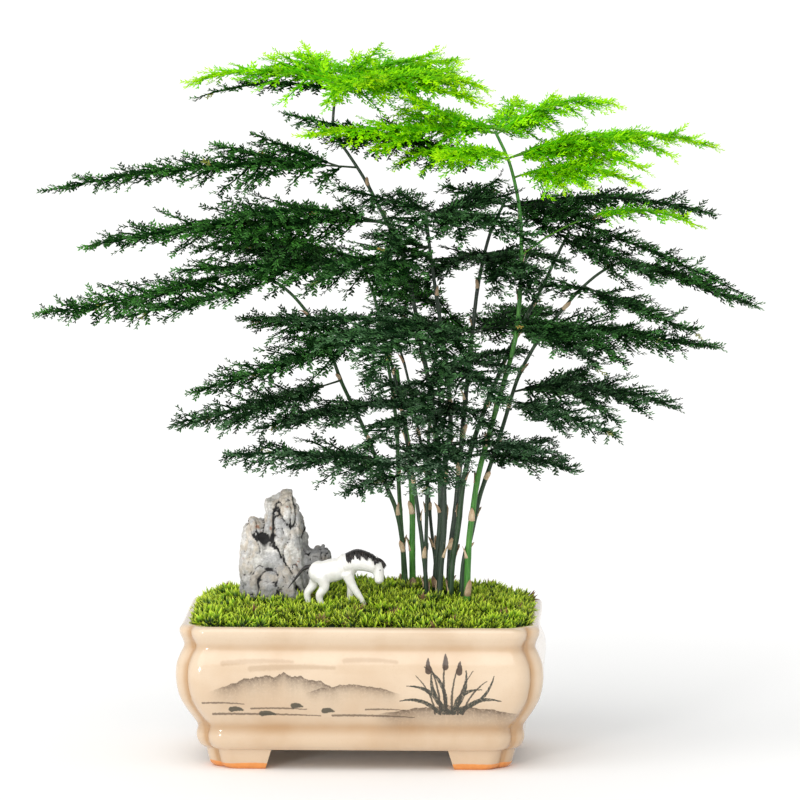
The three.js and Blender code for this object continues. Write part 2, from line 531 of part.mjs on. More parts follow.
// A plume of a rib with pointed leaflets on both sides, each as long as free lets it be (free is asked
// about its corners). Without free it is the rib's room alone, extra larger all round
function plumeBlade(plume, seed, extra, free) {
  const { azimuth, reach, wide, bare } = plume;
  const heading = THREE.MathUtils.degToRad(azimuth);
  const roll = THREE.MathUtils.degToRad(plume.roll);
  const ahead = new THREE.Vector3(Math.cos(heading), Math.sin(heading), 0);
  const left = new THREE.Vector3(-Math.sin(heading), Math.cos(heading), 0).multiplyScalar(Math.cos(roll));
  left.z = -Math.sin(roll);
  const rib = ribOf(plume);
  const pairs = Math.max(LEAST_PAIRS, Math.round((reach * (1 - bare)) / plume.spacing));
  const stations = [0];
  for (let k = 0; k <= pairs; k++) stations.push(bare + ((1 - bare) * k) / (pairs + 0.6));
  const points = [];
  const faces = [];
  const body = [];
  const add = (p, thickness = 1) => {
    body.push(thickness);
    return points.push(p) - 1;
  };
  const ribSide = stations.map((s, k) => {
    const slim = k === 0 ? plume.rootWidth : 1;
    const half = (0.9 - 0.45 * s) * slim + extra;
    return [1, -1].map((side) => add(rib(s).addScaledVector(left, side * half), slim));
  });
  const tip = add(rib(1).addScaledVector(ahead, extra));
  const rim = { 1: [ribSide[0][0], ribSide[1][0]], [-1]: [ribSide[0][1], ribSide[1][1]] };
  const leafletEnd = (s, t, side, length) => {
    const angle = THREE.MathUtils.degToRad(56 - 22 * t);
    const end = rib(s).addScaledVector(ahead, length * Math.cos(angle));
    end.addScaledVector(left, side * length * Math.sin(angle));
    end.z -= DROOP * length + DROOP_GROWTH * length * length;
    return end;
  };
  for (let k = 1; k + 1 < stations.length; k++) {
    const s = (stations[k] + stations[k + 1]) / 2;
    const t = (s - bare) / (1 - bare);
    [1, -1].forEach((side, column) => {
      const base = [ribSide[k][column], ribSide[k + 1][column]];
      const longest = wide * fullness(t) * (0.84 + 0.3 * scatter(seed * 31 + k, side));
      const corners = (share) => {
        const ends = [...base.map((i) => points[i]), leafletEnd(s, t, side, longest * share)];
        return side > 0 ? ends : ends.reverse();
      };
      const share = free ? LEAFLET_SHARES.find((trial) => free(corners(trial))) : undefined;
      if (share) {
        const point = add(leafletEnd(s, t, side, longest * share), 0);
        faces.push(side > 0 ? [...base, point] : [point, ...base.reverse()]);
        rim[side].push(point);
      }
      rim[side].push(ribSide[k + 1][column]);
    });
  }
  for (let k = 0; k + 1 < stations.length; k++) {
    const [[l0, r0], [l1, r1]] = [ribSide[k], ribSide[k + 1]];
    faces.push([r0, r1, l1], [r0, l1, l0]);
  }
  const [lastLeft, lastRight] = ribSide.at(-1);
  faces.push([lastRight, tip, lastLeft]);
  const outline = [...rim[-1], tip, ...rim[1].reverse()];
  return bladeOf(points, faces, outline, BLADE / 2 + extra, body);
}

function boxed(solid) {
  return { solid, box: solid.boundingBox() };
}

function meets(a, b) {
  const apart = [0, 1, 2].some((i) => a.box.min[i] > b.box.max[i] || b.box.min[i] > a.box.max[i]);
  return !apart && !a.solid.intersect(b.solid).isEmpty();
}

// The ribs come first. Then each frond's leaflets grow, one frond after another, and keep clear of the
// canes, of all other ribs and of the leaflets that have grown before them
function makeFronds() {
  const canes = CANES.map((_, index) => boxed(makeCane(index, GAP)));
  const plumes = FRONDS.map(plumesOf);
  const ribs = plumes.map((all) => all.map((plume) => boxed(plumeBlade(plume, 0, GAP))));
  const leaflets = [];
  return plumes.map((all, index) => {
    const blades = all.map((plume, k) => {
      const otherRibs = ribs.flat().filter((room) => room !== ribs[index][k]);
      const taken = [...canes, ...otherRibs, ...leaflets];
      const free = (corners) => {
        const room = boxed(prism(corners, GAP));
        if (taken.some((other) => meets(room, other))) return false;
        leaflets.push(boxed(prism(corners, 0)));
        return true;
      };
      return plumeBlade(plume, index + 43 * k, 0, free);
    });
    const earlierRibs = ribs.slice(0, index).flat();
    const frond = boxed(join(blades));
    const inTheWay = [...canes, ...earlierRibs].filter((other) => meets(frond, other));
    return largest(inTheWay.reduce((rest, other) => rest.subtract(other.solid), frond.solid));
  });
}

// The ground inside the pot: how high the moss stands at a place
function mossHeight(x, y) {
  const across = Math.pow(x / (POT_HALF_LENGTH - 10), 2);
  const along = Math.pow(y / (POT_HALF_DEPTH - 10), 2);
  const crown = Math.max(0, (1 - across) * (1 - along));
  const waveX = Math.sin(x * 0.23 + 1.3 * Math.sin(y * 0.11));
  const waveY = Math.cos(y * 0.27 + 0.9 * Math.sin(x * 0.09));
  const tufts = scatter(Math.round(x), Math.round(y)) - 0.5;
  const rise = MOSS_RISE * (1 + MOSS_LEAN * y) * Math.sqrt(crown);
  return MOSS_EDGE + rise + 1.1 * waveX * waveY + 1.6 * tufts;
}

// The soil fills the pot from its floor up, a gap inside the wall all round
function makeSoil() {
  const wall = POT_PROFILE.slice(-INNER_LEVELS).reverse().filter(([z]) => z < SOIL_TOP);
  const levels = [...wall, [SOIL_TOP - GAP, MOUTH_INSET]];
  const fill = solidOf(skin(levels.map(([z, inset]) => potOutline(z + GAP, inset + GAP))));
  const mound = new THREE.SphereGeometry(1, 12, 6);
  mound.rotateX(Math.PI / 2).scale(CLUMP.halfLength, CLUMP.halfDepth, CLUMP.rise);
  mound.translate(CLUMP.x, CLUMP.y, SOIL_TOP - 0.01);
  const soil = fill.add(solidOf(mound));
  return largest(CANES.reduce((rest, _, index) => rest.subtract(caneRod(index, GAP)), soil));
}

// A slab with a bumpy top, trimmed to the pot's inside and cut clear of all that stands in it
function makeMoss(standing) {
  const [columns, rows] = [22, 15];
  const [halfLength, halfDepth] = [POT_HALF_LENGTH - 8, POT_HALF_DEPTH - 8];
  const bottom = SOIL_TOP + GAP;
  const top = [];
  for (let j = 0; j <= rows; j++) {
    for (let i = 0; i <= columns; i++) {
      const x = -halfLength + (2 * halfLength * i) / columns;
      const y = -halfDepth + (2 * halfDepth * j) / rows;
      top.push([x, y, mossHeight(x, y)]);
    }
  }
  const stride = columns + 1;
  const faces = [];
  for (let j = 0; j < rows; j++) {
    for (let i = 0; i < columns; i++) {
      const a = j * stride + i;
      faces.push(a, a + 1, a + 1 + stride, a, a + 1 + stride, a + stride);
    }
  }
  const edge = [];
  for (let i = 0; i < columns; i++) edge.push(i);
  for (let j = 0; j < rows; j++) edge.push(j * stride + columns);
  for (let i = columns; i > 0; i--) edge.push(rows * stride + i);
  for (let j = rows; j > 0; j--) edge.push(j * stride);
  const low = edge.map((k) => [top[k][0], top[k][1], bottom]);
  edge.forEach((k, n) => {
    const m = (n + 1) % edge.length;
    const [a, b] = [top.length + n, top.length + m];
    faces.push(a, b, edge[m], a, edge[m], k);
  });
  const flat = low.map(([x, y]) => new THREE.Vector2(x, y));
  THREE.ShapeUtils.triangulateShape(flat, []).forEach(([a, b, c]) => {
    faces.push(top.length + c, top.length + b, top.length + a);
  });
  const slab = new THREE.BufferGeometry();
  slab.setAttribute("position", new THREE.Float32BufferAttribute([...top, ...low].flat(), 3));
  slab.setIndex(faces);
  const inside = solidOf(skin([SOIL_TOP - 1, 2 * SOIL_TOP].map((z) => potOutline(z, MOUTH_INSET + GAP))));
  const clearing = new THREE.CylinderGeometry(1, 1, 80, 16).rotateX(Math.PI / 2);
  clearing.scale(CLUMP.halfLength + GAP, CLUMP.halfDepth + GAP, 1).translate(CLUMP.x, CLUMP.y, SOIL_TOP);
  const moss = solidOf(slab).intersect(inside).subtract(solidOf(clearing));
  const canes = CANES.map((_, index) => caneRod(index, GAP));
  return largest([...standing, ...canes].reduce((rest, other) => rest.subtract(other), moss));
}

// The scholar's stone: a tall peak, a lower one and their foot, each a rough lump, joined in one
const STONE_LUMPS = [
  { centre: [-47, 6, 110], size: [14, 12, 47], lean: 0, seed: 3 },
  { centre: [-64, 5, 102], size: [9.5, 12, 40], lean: 0, seed: 8 },
  { centre: [-51, 2, 92], size: [22.5, 16, 25], lean: 0, seed: 12 },
  { centre: [-30, 8, 98], size: [10.5, 11, 25], lean: 0.1, seed: 17 },
];
const STONE_DETAIL = 2;
const STONE_BLUNTNESS = 2.6; // 2 would make the lumps true ellipsoids, more makes them boxier

function makeStone() {
  const lumps = STONE_LUMPS.map(({ centre, size, lean, seed }) => {
    const ball = new THREE.IcosahedronGeometry(1, STONE_DETAIL);
    const place = ball.getAttribute("position");
    for (let i = 0; i < place.count; i++) {
      const d = new THREE.Vector3().fromBufferAttribute(place, i).normalize();
      const ridges = 0.6 * Math.sin(9 * d.z + 3 * d.x + seed);
      const folds = Math.sin(5 * d.x + seed) * Math.sin(4 * d.y + 2 * seed) + ridges;
      const [cx, cy, cz] = d.toArray().map((v) => Math.round(v * 50));
      const chips = scatter(cx + seed, cy + 7 * cz) - 0.5;
      const squared = d.toArray().reduce((sum, v) => sum + Math.pow(Math.abs(v), STONE_BLUNTNESS), 0);
      const radius = (0.98 + 0.1 * folds + 0.12 * chips) / Math.pow(squared, 1 / STONE_BLUNTNESS);
      const [x, y, z] = d.toArray().map((v, axis) => v * size[axis] * radius);
      place.setXYZ(i, centre[0] + x + lean * z, centre[1] + y, centre[2] + z);
    }
    return solidOf(ball);
  });
  const ground = SOIL_TOP + GAP;
  return largest(join(lumps).subtract(box(400, 400, 200, 0, 0, ground - 100)));
}

// The hollow in the moss that the stone stands in: the hull of its foot, a little larger all round
function stoneRoom(stone) {
  const foot = stone.intersect(box(400, 400, 60, 0, 0, SOIL_TOP - 10)).hull();
  const { min, max } = foot.boundingBox();
  const middle = [0, 1, 2].map((i) => (min[i] + max[i]) / 2);
  const larger = [0, 1, 2].map((i) => 1 + (2.6 * GAP) / (max[i] - min[i]));
  return foot.translate(middle.map((v) => -v)).scale(larger).translate(middle);
}

// The painted horse, grazing: a barrel of a body on four legs, neck and head lowered, mane and tail
const HORSE = { x: -11.5, y: -25, ground: 90.3 };

function makeHorse(grow = 0) {
  const barrel = (centre, size, tilt, across = 8, down = 6) => {
    const ball = new THREE.SphereGeometry(1, across, down);
    ball.scale(...size.map((half) => half + grow)).rotateY(tilt).translate(...centre);
    return solidOf(ball);
  };
  const limb = (points, r0, r1, sides = 5) => {
    const curve = new THREE.CatmullRomCurve3(points.map((p) => new THREE.Vector3(...p)));
    return rod(curve, r0, r1, sides, points.length, grow);
  };
  const parts = [
    barrel([-5.5, 0, 22], [12.5, 5.8, 6.9], -0.22, 10, 8),
    barrel([-13.2, 0, 21], [6.4, 5.6, 6.6], 0.2),
    barrel([2.5, 0, 24.3], [6, 5.2, 7.6], -0.3),
    limb([[1.5, 0, 25.5], [8, 0, 27.2], [14, -0.6, 26.6], [19.5, -1, 24.8]], 6.6, 4.6),
    limb([[19.5, -0.8, 25.4], [21.3, -1.4, 21.4], [21.9, -2, 15.6]], 4.4, 2.6),
    limb([[20, 0.8, 28], [20.5, 1.6, 32]], 1.1, 0.3, 4),
    limb([[20, -2.6, 28], [20.5, -3.4, 32]], 1.1, 0.3, 4),
    limb([[-12, -3, 19.5], [-10, -3.2, 12.5], [-13, -3.2, 7.5], [-10.8, -3.2, 0.2]], 4.2, 1.5),
    limb([[-14.5, 3, 19.5], [-17, 3.2, 12.8], [-20.2, 3.2, 8], [-19, 3.2, 0.6]], 4, 1.5),
    limb([[3, -3, 20.5], [6.5, -3.2, 13], [10.2, -3.2, 7.5], [13.6, -3.2, 2]], 3.6, 1.4),
    limb([[4, 3, 20.5], [5, 3.2, 12.5], [4.6, 3.2, 7], [5, 3.2, 1]], 3.4, 1.4),
    limb([[-17.5, 0, 24.5], [-22, 0.4, 23], [-26.5, 0.6, 17.5], [-30.5, 0.8, 12]], 1.7, 1),
    limb([[2.5, 0, 31.2], [8.5, 0, 33], [14.5, -0.8, 31.8], [20.8, -1.4, 28.6]], 1.9, 1.4),
  ];
  return largest(join(parts)).translate(HORSE.x, HORSE.y, HORSE.ground);
}

function material(color, roughness) {
  return new THREE.MeshStandardMaterial({ color, roughness, metalness: 0 });
}

const glaze = material(0xe2c49c, 0.25);
const earth = material(0x3a2a1e, 0.95);
const mossGreen = material(0x86b324, 0.9);
const limestone = material(0x9a948a, 0.9);
const porcelain = material(0xf2f0ea, 0.35);
const caneGreen = material(0x24602a, 0.5);
const darkLeaf = material(0x1d4a2c, 0.7);
const youngLeaf = material(0x7fd016, 0.65);

function named(name, solid, look) {
  const mesh = new THREE.Mesh(geometryOf(solid), look);
  mesh.name = name;
  return mesh;
}

const stone = makeStone();

const plant = new THREE.Group();
plant.add(named("pot", makePot(), glaze));
plant.add(named("soil", makeSoil(), earth));
plant.add(named("moss", makeMoss([stoneRoom(stone), makeHorse(GAP)]), mossGreen));
plant.add(named("stone", stone, limestone));
plant.add(named("horse", makeHorse(), porcelain));
CANES.forEach((cane, index) => plant.add(named(cane.name, makeCane(index), caneGreen)));
makeFronds().forEach((solid, index) => {
  const { name } = FRONDS[index];
  plant.add(named(name, solid, name.startsWith("young") ? youngLeaf : darkLeaf));
});

// The origin is the middle of the whole plant's footprint, on the table
const middle = new THREE.Box3().setFromObject(plant).getCenter(new THREE.Vector3());
plant.position.set(-middle.x, -middle.y, 0);

export default plant;
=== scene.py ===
import math
import random
import bmesh
import bpy
import numpy as np
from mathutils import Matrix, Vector, noise


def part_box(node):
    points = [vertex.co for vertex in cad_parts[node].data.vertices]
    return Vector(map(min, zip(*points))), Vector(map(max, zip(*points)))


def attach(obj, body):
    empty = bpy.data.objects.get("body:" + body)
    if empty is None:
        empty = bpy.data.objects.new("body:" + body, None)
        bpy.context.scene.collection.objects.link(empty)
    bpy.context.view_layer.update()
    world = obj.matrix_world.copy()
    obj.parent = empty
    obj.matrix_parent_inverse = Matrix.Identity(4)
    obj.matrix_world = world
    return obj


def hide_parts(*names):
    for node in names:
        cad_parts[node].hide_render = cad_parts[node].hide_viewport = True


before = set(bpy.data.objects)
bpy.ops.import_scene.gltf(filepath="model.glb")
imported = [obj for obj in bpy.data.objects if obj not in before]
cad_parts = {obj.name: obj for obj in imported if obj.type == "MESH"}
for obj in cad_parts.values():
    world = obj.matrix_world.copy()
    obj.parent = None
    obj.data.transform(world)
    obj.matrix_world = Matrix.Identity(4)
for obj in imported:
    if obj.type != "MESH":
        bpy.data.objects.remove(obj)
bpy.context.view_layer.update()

# Sizes are millimetres from the pot's centre on the table, +X right, +Y away, +Z up
MM = 0.001
POT_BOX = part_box("pot")
CENTRE = np.array([(POT_BOX[0][0] + POT_BOX[1][0]) / 2, (POT_BOX[0][1] + POT_BOX[1][1]) / 2, 0.0])
POT_HALF_LENGTH = 106
POT_HALF_DEPTH = 73
LOBE_RADIUS = 9
NOTCH_DEPTH = 7
LOBE_STEPS = 8
SIDE_STEPS = 8
FRONT_STEPS = 14
FOOT_HEIGHT = 12
FOOT_WALL = 13
FOOT_GAP_FRONT = 55
FOOT_GAP_SIDE = 30
FOOT_GAP_TAPER = 4
DRAIN_RADIUS = 6
DRAIN_OFFSET = 45
SOIL_TOP = 78
MOUTH_INSET = 10.2
GAP = 0.35
MOSS_EDGE = 84.5
MOSS_RISE = 11
MOSS_LEAN = 0.008
MOSS_SINK = 2
CLUMP = (43, 4)
CLUMP_HALF = (25, 22)
CLUMP_RISE = 13
CLEARING = 0.6  # of the clump, left bare between the canes
CANE_FOOT = 62
DROOP = 0.08
DROOP_GROWTH = 0.002

# Each level's height and how far it lies inside the belly's outline
FOOT_PROFILE = [(0, 20.5), (2, 18.6), (7, 17.2), (13, 16)]
POT_PROFILE = [
    (12, 14.6), (14, 12.6), (17, 11.2), (20.5, 10.8), (24.8, 11.6), (29, 9.5), (35, 5.8), (42, 2.3),
    (49.5, 0.5), (56, 0), (62.5, 0.6), (68, 2.6), (72.5, 4.6), (76, 3.8), (79.5, 2.4), (82.5, 2.2),
    (84.5, 3.8), (85, 6), (84.4, 8.2), (82, 9.6), (74, 10.4), (56, 7), (44, 8.5), (30, 15.5), (20, 20),
]
INNER_LEVELS = 6
OUTER_LEVELS = 17  # up to the rim's edge
POT_STEPS, FOOT_STEPS = 4, 3  # levels made of each one above
FOOT_BEVEL = 1.1
WOBBLE, WOBBLE_SIZE, WOBBLE_REACH = 0.35, 42, 90  # how far and how widely the glazed wall strays
WAIST_LEVEL, NECK_LEVEL = 25.5, 73


# Curves, and meshes from points in millimetres

FINE_STEPS = 240


def curve_point(points, t):
    """A point of the centripetal Catmull-Rom curve through the points, t from 0 to 1."""
    spans = len(points) - 1
    span = min(int(t * spans), spans - 1)
    u = t * spans - span
    b, c = np.array(points[span], float), np.array(points[span + 1], float)
    a = np.array(points[span - 1], float) if span > 0 else 2 * b - c
    d = np.array(points[span + 2], float) if span + 2 <= spans else 2 * c - b
    ab, bc, cd = (max(np.sum((q - p) ** 2) ** 0.25, 1e-4) for p, q in ((a, b), (b, c), (c, d)))
    start = ((b - a) / ab - (c - a) / (ab + bc) + (c - b) / bc) * bc
    end = ((c - b) / bc - (d - b) / (bc + cd) + (d - c) / cd) * bc
    return b + u * start + u * u * (3 * (c - b) - 2 * start - end) + u ** 3 * (2 * (b - c) + start + end)


def along(points, count):
    """Points spaced evenly by length on the curve through the given ones."""
    fine = np.array([curve_point(points, i / FINE_STEPS) for i in range(FINE_STEPS + 1)])
    lengths = np.concatenate([[0], np.cumsum(np.linalg.norm(np.diff(fine, axis=0), axis=1))])
    wanted = np.linspace(0, lengths[-1], count)
    return np.array([[np.interp(w, lengths, fine[:, k]) for k in range(3)] for w in wanted]), lengths[-1]


def to_frame(points):
    return np.asarray(points, float) * MM + CENTRE


def add_object(name, data):
    made = bpy.data.objects.new(name, data)
    bpy.context.scene.collection.objects.link(made)
    return made


def new_piece(name, points, faces, smooth=True, edges=()):
    mesh = bpy.data.meshes.new(name)
    mesh.from_pydata(to_frame(points).tolist(), list(edges), faces)
    mesh.polygons.foreach_set("use_smooth", [smooth] * len(mesh.polygons))
    mesh.update()
    return add_object(name, mesh)


def remove(piece):
    mesh = piece.data
    bpy.data.objects.remove(piece)
    bpy.data.meshes.remove(mesh)


def settle(piece):
    """Makes the piece and its modifiers one plain mesh."""
    graph = bpy.context.evaluated_depsgraph_get()
    made = bpy.data.meshes.new_from_object(
        piece.evaluated_get(graph), preserve_all_data_layers=True, depsgraph=graph
    )
    piece.modifiers.clear()
    old = piece.data
    piece.data = made
    bpy.data.meshes.remove(old)
    made.name = piece.name
    return piece


def modify(piece, kind, **values):
    modifier = piece.modifiers.new(kind.lower(), kind)
    for name, value in values.items():
        setattr(modifier, name, value)
    return settle(piece)


def combine(piece, tool, operation):
    modify(piece, "BOOLEAN", object=tool, operation=operation, solver="EXACT")
    remove(tool)
    return piece


def join(name, pieces):
    """One object from several, their meshes side by side."""
    whole = bmesh.new()
    materials = []
    for piece in pieces:
        slots = []
        for material in piece.data.materials:
            if material not in materials:
                materials.append(material)
            slots.append(materials.index(material))
        first = len(whole.faces)
        whole.from_mesh(piece.data)
        whole.faces.ensure_lookup_table()
        if slots:
            for face in whole.faces[first:]:
                face.material_index = slots[min(face.material_index, len(slots) - 1)]
    mesh = bpy.data.meshes.new(name)
    whole.to_mesh(mesh)
    whole.free()
    for material in materials:
        mesh.materials.append(material)
    for piece in pieces:
        remove(piece)
    return add_object(name, mesh)


def skin(rings, closed=True):
    """Rings of points, all alike, as points and faces, with a flat cap at either end."""
    count = len(rings[0])
    points = [p for ring in rings for p in ring]
    faces = []
    for r in range(len(rings) - 1):
        for i in range(count):
            a, b = r * count + i, r * count + (i + 1) % count
            faces.append((a, b, b + count, a + count))
    if closed:
        last = (len(rings) - 1) * count
        faces.append(tuple(reversed(range(count))))
        faces.append(tuple(range(last, last + count)))
    return points, faces


def tube(path, radii, sides=12):
    """A round rod through the points of path, with rounded ends, its rings kept from twisting."""
    path = np.asarray(path, float)
    tangents = np.gradient(path, axis=0)
    tangents /= np.linalg.norm(tangents, axis=1)[:, None]
    normal = np.cross(tangents[0], (0.3, 1, 0.1))
    rings = []
    for centre, tangent, radius in zip(path, tangents, radii):
        normal = normal - tangent * normal.dot(tangent)
        normal /= np.linalg.norm(normal)
        across = np.cross(tangent, normal)
        turns = np.linspace(0, 2 * math.pi, sides, endpoint=False)
        rings.append([centre + radius * (math.cos(a) * normal + math.sin(a) * across) for a in turns])
    points, faces = skin(rings, closed=False)
    for end, tangent, radius in ((0, -tangents[0], radii[0]), (-1, tangents[-1], radii[-1])):
        pole = len(points)
        points.append(path[end] + tangent * radius * 0.6)
        base = 0 if end == 0 else (len(rings) - 1) * sides
        for i in range(sides):
            pair = (base + i, base + (i + 1) % sides)
            faces.append((pole, pair[1], pair[0]) if end == 0 else (pole, pair[0], pair[1]))
    return points, faces


def face_outwards(mesh):
    solid = bmesh.new()
    solid.from_mesh(mesh)
    bmesh.ops.recalc_face_normals(solid, faces=solid.faces)
    solid.to_mesh(mesh)
    solid.free()


def shade_smooth(piece):
    piece.data.polygons.foreach_set("use_smooth", [True] * len(piece.data.polygons))


def set_values(piece, name, values):
    """Keeps a value at every point: a list of them, or one for all."""
    attribute = piece.data.attributes.new(name, "FLOAT", "POINT")
    numbers = np.zeros(len(piece.data.vertices), np.float32)
    numbers[:] = values
    attribute.data.foreach_set("value", numbers)


def locations(piece):
    flat = np.zeros(len(piece.data.vertices) * 3)
    piece.data.vertices.foreach_get("co", flat)
    return (flat.reshape(-1, 3) - CENTRE) / MM


def set_locations(piece, points):
    piece.data.vertices.foreach_set("co", to_frame(points).ravel())
    piece.data.update()


def ramp(value, low, high):
    return min(1.0, max(0.0, (value - low) / (high - low)))


def scatter(number):
    """Even, repeatable scatter from 0 to 1."""
    v = math.sin(number * 127.1 + 17.3) * 43758.5453
    return v - math.floor(v)


# Nodes for materials and for growing repeats

class Nodes:
    """Short calls that place nodes in one tree; most give back the node's first output."""

    def __init__(self, tree):
        self.tree = tree

    def put(self, kind, inputs=None, **settings):
        made = self.tree.nodes.new(kind)
        for name, value in settings.items():
            setattr(made, name, value)
        for name, value in (inputs or {}).items():
            if isinstance(value, bpy.types.NodeSocket):
                self.tree.links.new(value, made.inputs[name])
            else:
                made.inputs[name].default_value = value
        return made

    def out(self, kind, inputs=None, **settings):
        return self.put(kind, inputs, **settings).outputs[0]

    def calc(self, operation, *values):
        return self.out("ShaderNodeMath", dict(enumerate(values)), operation=operation)

    def times(self, a, b):
        return self.calc("MULTIPLY", a, b)

    def minus(self, a, b):
        return self.calc("SUBTRACT", a, b)

    def fit(self, value, by, plus):
        """The value times one number, with another added."""
        return self.calc("MULTIPLY_ADD", value, by, plus)

    def vector(self, operation, *values, output=0):
        made = self.put("ShaderNodeVectorMath", dict(enumerate(values)), operation=operation)
        return made.outputs[output]

    def scale(self, where, by):
        return self.out("ShaderNodeVectorMath", {0: where, 3: by}, operation="SCALE")

    def split(self, where):
        return self.put("ShaderNodeSeparateXYZ", {0: where}).outputs

    def gather(self, x, y, z):
        return self.out("ShaderNodeCombineXYZ", {0: x, 1: y, 2: z})

    def clamp(self, value):
        return self.out("ShaderNodeClamp", {0: value})

    def ease(self, value, low, high, start=0.0, end=1.0):
        """A smooth step from start to end as value goes from low to high."""
        inputs = {"Value": value, "From Min": low, "From Max": high, "To Min": start, "To Max": end}
        return self.out("ShaderNodeMapRange", inputs, interpolation_type="SMOOTHSTEP")

    def noise(self, where, size, detail=3.0, rough=0.55):
        inputs = {"Vector": where, "Scale": 1 / size, "Detail": detail, "Roughness": rough}
        return self.out("ShaderNodeTexNoise", inputs)

    def mix(self, factor, a, b):
        """Colour a turning to colour b; a colour is a socket or red, green and blue, linear."""
        a, b = (v + (1.0,) if isinstance(v, tuple) else v for v in (a, b))
        return self.put("ShaderNodeMix", {0: factor, 6: a, 7: b}, data_type="RGBA").outputs[2]

    def coats(self, colour, layers):
        """The colour under several coats, each a mask, its strength and its colour."""
        for mask, strength, coat in layers:
            colour = self.mix(self.times(mask, strength), colour, coat)
        return colour

    def read(self, name):
        return self.put("ShaderNodeAttribute", attribute_name=name).outputs["Fac"]

    def place(self, group, **values):
        """The outputs of a node group placed in this tree."""
        inputs = {name.replace("_", " "): value for name, value in values.items()}
        return self.put("ShaderNodeGroup", inputs, node_tree=group).outputs

    def link(self, value, socket):
        self.tree.links.new(value, socket)


class Group(Nodes):
    """A node group in the making, with its named inputs and outputs."""

    def __init__(self, name, kind, inputs, outputs):
        super().__init__(bpy.data.node_groups.new(name, kind))
        for way, sockets in (("INPUT", inputs), ("OUTPUT", outputs)):
            for socket, value in sockets.items():
                self.tree.interface.new_socket(socket, in_out=way, socket_type=f"NodeSocket{value}")
        self.given = self.tree.nodes.new("NodeGroupInput").outputs
        self.result = self.tree.nodes.new("NodeGroupOutput").inputs


class Look(Nodes):
    """A material in the making; where is the place in millimetres from the pot's centre."""

    def __init__(self, name, roughness, **fixed):
        self.material = bpy.data.materials.new(name)
        self.material.use_nodes = True
        super().__init__(self.material.node_tree)
        self.shader = self.tree.nodes["Principled BSDF"].inputs
        self.shader["Roughness"].default_value = roughness
        for socket, value in fixed.items():
            self.shader[socket.replace("_", " ")].default_value = value
        place = self.put("ShaderNodeTexCoord").outputs["Object"]
        mapping = {"Vector": place, "Location": tuple(-CENTRE / MM), "Scale": (1 / MM, 1 / MM, 1 / MM)}
        self.where = self.out("ShaderNodeMapping", mapping)

    def done(self, colour, height=None, depth=0.0):
        """Wires in the colour, and a height of some depth in millimetres, and gives the material."""
        self.link(colour, self.shader["Base Color"])
        if height is not None:
            rough = self.out("ShaderNodeBump", {"Strength": 1.0, "Distance": depth * MM, "Height": height})
            self.link(rough, self.shader["Normal"])
        return self.material


def brush_stroke_group():
    """One stroke of a brush from Start to End, bowed to the side and pointed at its end, as an ink mask."""
    places = dict.fromkeys(("Point", "Start", "End"), "Vector")
    numbers = dict.fromkeys(("Bow", "Width", "Soft"), "Float")
    n = Group("Brush stroke", "ShaderNodeTree", places | numbers, {"Ink": "Float"})
    run = n.vector("SUBTRACT", n.given["End"], n.given["Start"])
    reach = n.vector("SUBTRACT", n.given["Point"], n.given["Start"])
    along_run = n.vector("DOT_PRODUCT", reach, run, output=1)
    held = n.clamp(n.calc("DIVIDE", along_run, n.calc("POWER", n.vector("LENGTH", run, output=1), 2.0)))
    foot = n.vector("MULTIPLY", run, n.gather(held, held, held))
    side = n.vector("NORMALIZE", n.vector("CROSS_PRODUCT", run, (0.0, 1.0, 0.0)))
    swell = n.times(held, n.minus(1.0, held))
    bowed = n.scale(side, n.times(n.times(swell, 4.0), n.given["Bow"]))
    away = n.vector("LENGTH", n.vector("SUBTRACT", n.vector("SUBTRACT", reach, foot), bowed), output=1)
    taper = n.minus(1.0, n.calc("POWER", held, 2.0))
    half = n.times(n.fit(taper, 0.8, 0.12), n.given["Width"])
    n.link(n.ease(n.minus(away, half), n.given["Soft"], 0.0), n.result["Ink"])
    return n.tree


def wash_group():
    """A mound of thin ink: a crisp wavy crest over a body that fades downwards, as a mask."""
    numbers = dict.fromkeys(("Middle", "Base", "Half width", "Height", "Fade"), "Float")
    n = Group("Ink wash", "ShaderNodeTree", {"Point": "Vector", **numbers}, {"Ink": "Float"})
    x, _, z = n.split(n.given["Point"])
    off = n.calc("DIVIDE", n.minus(x, n.given["Middle"]), n.given["Half width"])
    arch = n.minus(1.0, n.calc("POWER", n.calc("ABSOLUTE", off), 1.6))
    wave = n.fit(n.noise(n.gather(x, 0.0, 0.0), 9.0, 4.0), 1.1, 0.42)
    crest = n.fit(n.times(arch, wave), n.given["Height"], n.given["Base"])
    below = n.minus(crest, z)
    body = n.calc("EXPONENT", n.times(n.calc("DIVIDE", below, n.given["Fade"]), -1.0))
    edged = n.times(n.ease(below, -0.15, 0.35), body)
    n.link(n.times(edged, n.ease(arch, 0.0, 0.55)), n.result["Ink"])
    return n.tree


def wear_group():
    """Uneven tone and grain shared by natural surfaces: two masks and a height, at a size in millimetres."""
    outputs = dict.fromkeys(("Patches", "Grain", "Height"), "Float")
    n = Group("Natural grain", "ShaderNodeTree", {"Point": "Vector", "Size": "Float"}, outputs)
    spread = n.scale(n.given["Point"], n.calc("DIVIDE", 1.0, n.given["Size"]))
    patches = n.noise(spread, 1.0)
    grain = n.noise(spread, 0.16, 4.0, 0.65)
    n.link(n.ease(patches, 0.35, 0.68), n.result["Patches"])
    n.link(n.ease(grain, 0.3, 0.7), n.result["Grain"])
    n.link(n.fit(grain, 0.5, patches), n.result["Height"])
    return n.tree


BRUSH_STROKE = brush_stroke_group()
INK_WASH = wash_group()
NATURAL_GRAIN = wear_group()


# The painted design on the front: reeds on a bank to the right, a far bank, pads on still water and mist.
# Rows of X and Z where a stroke starts and ends, then its bow and its width where they vary

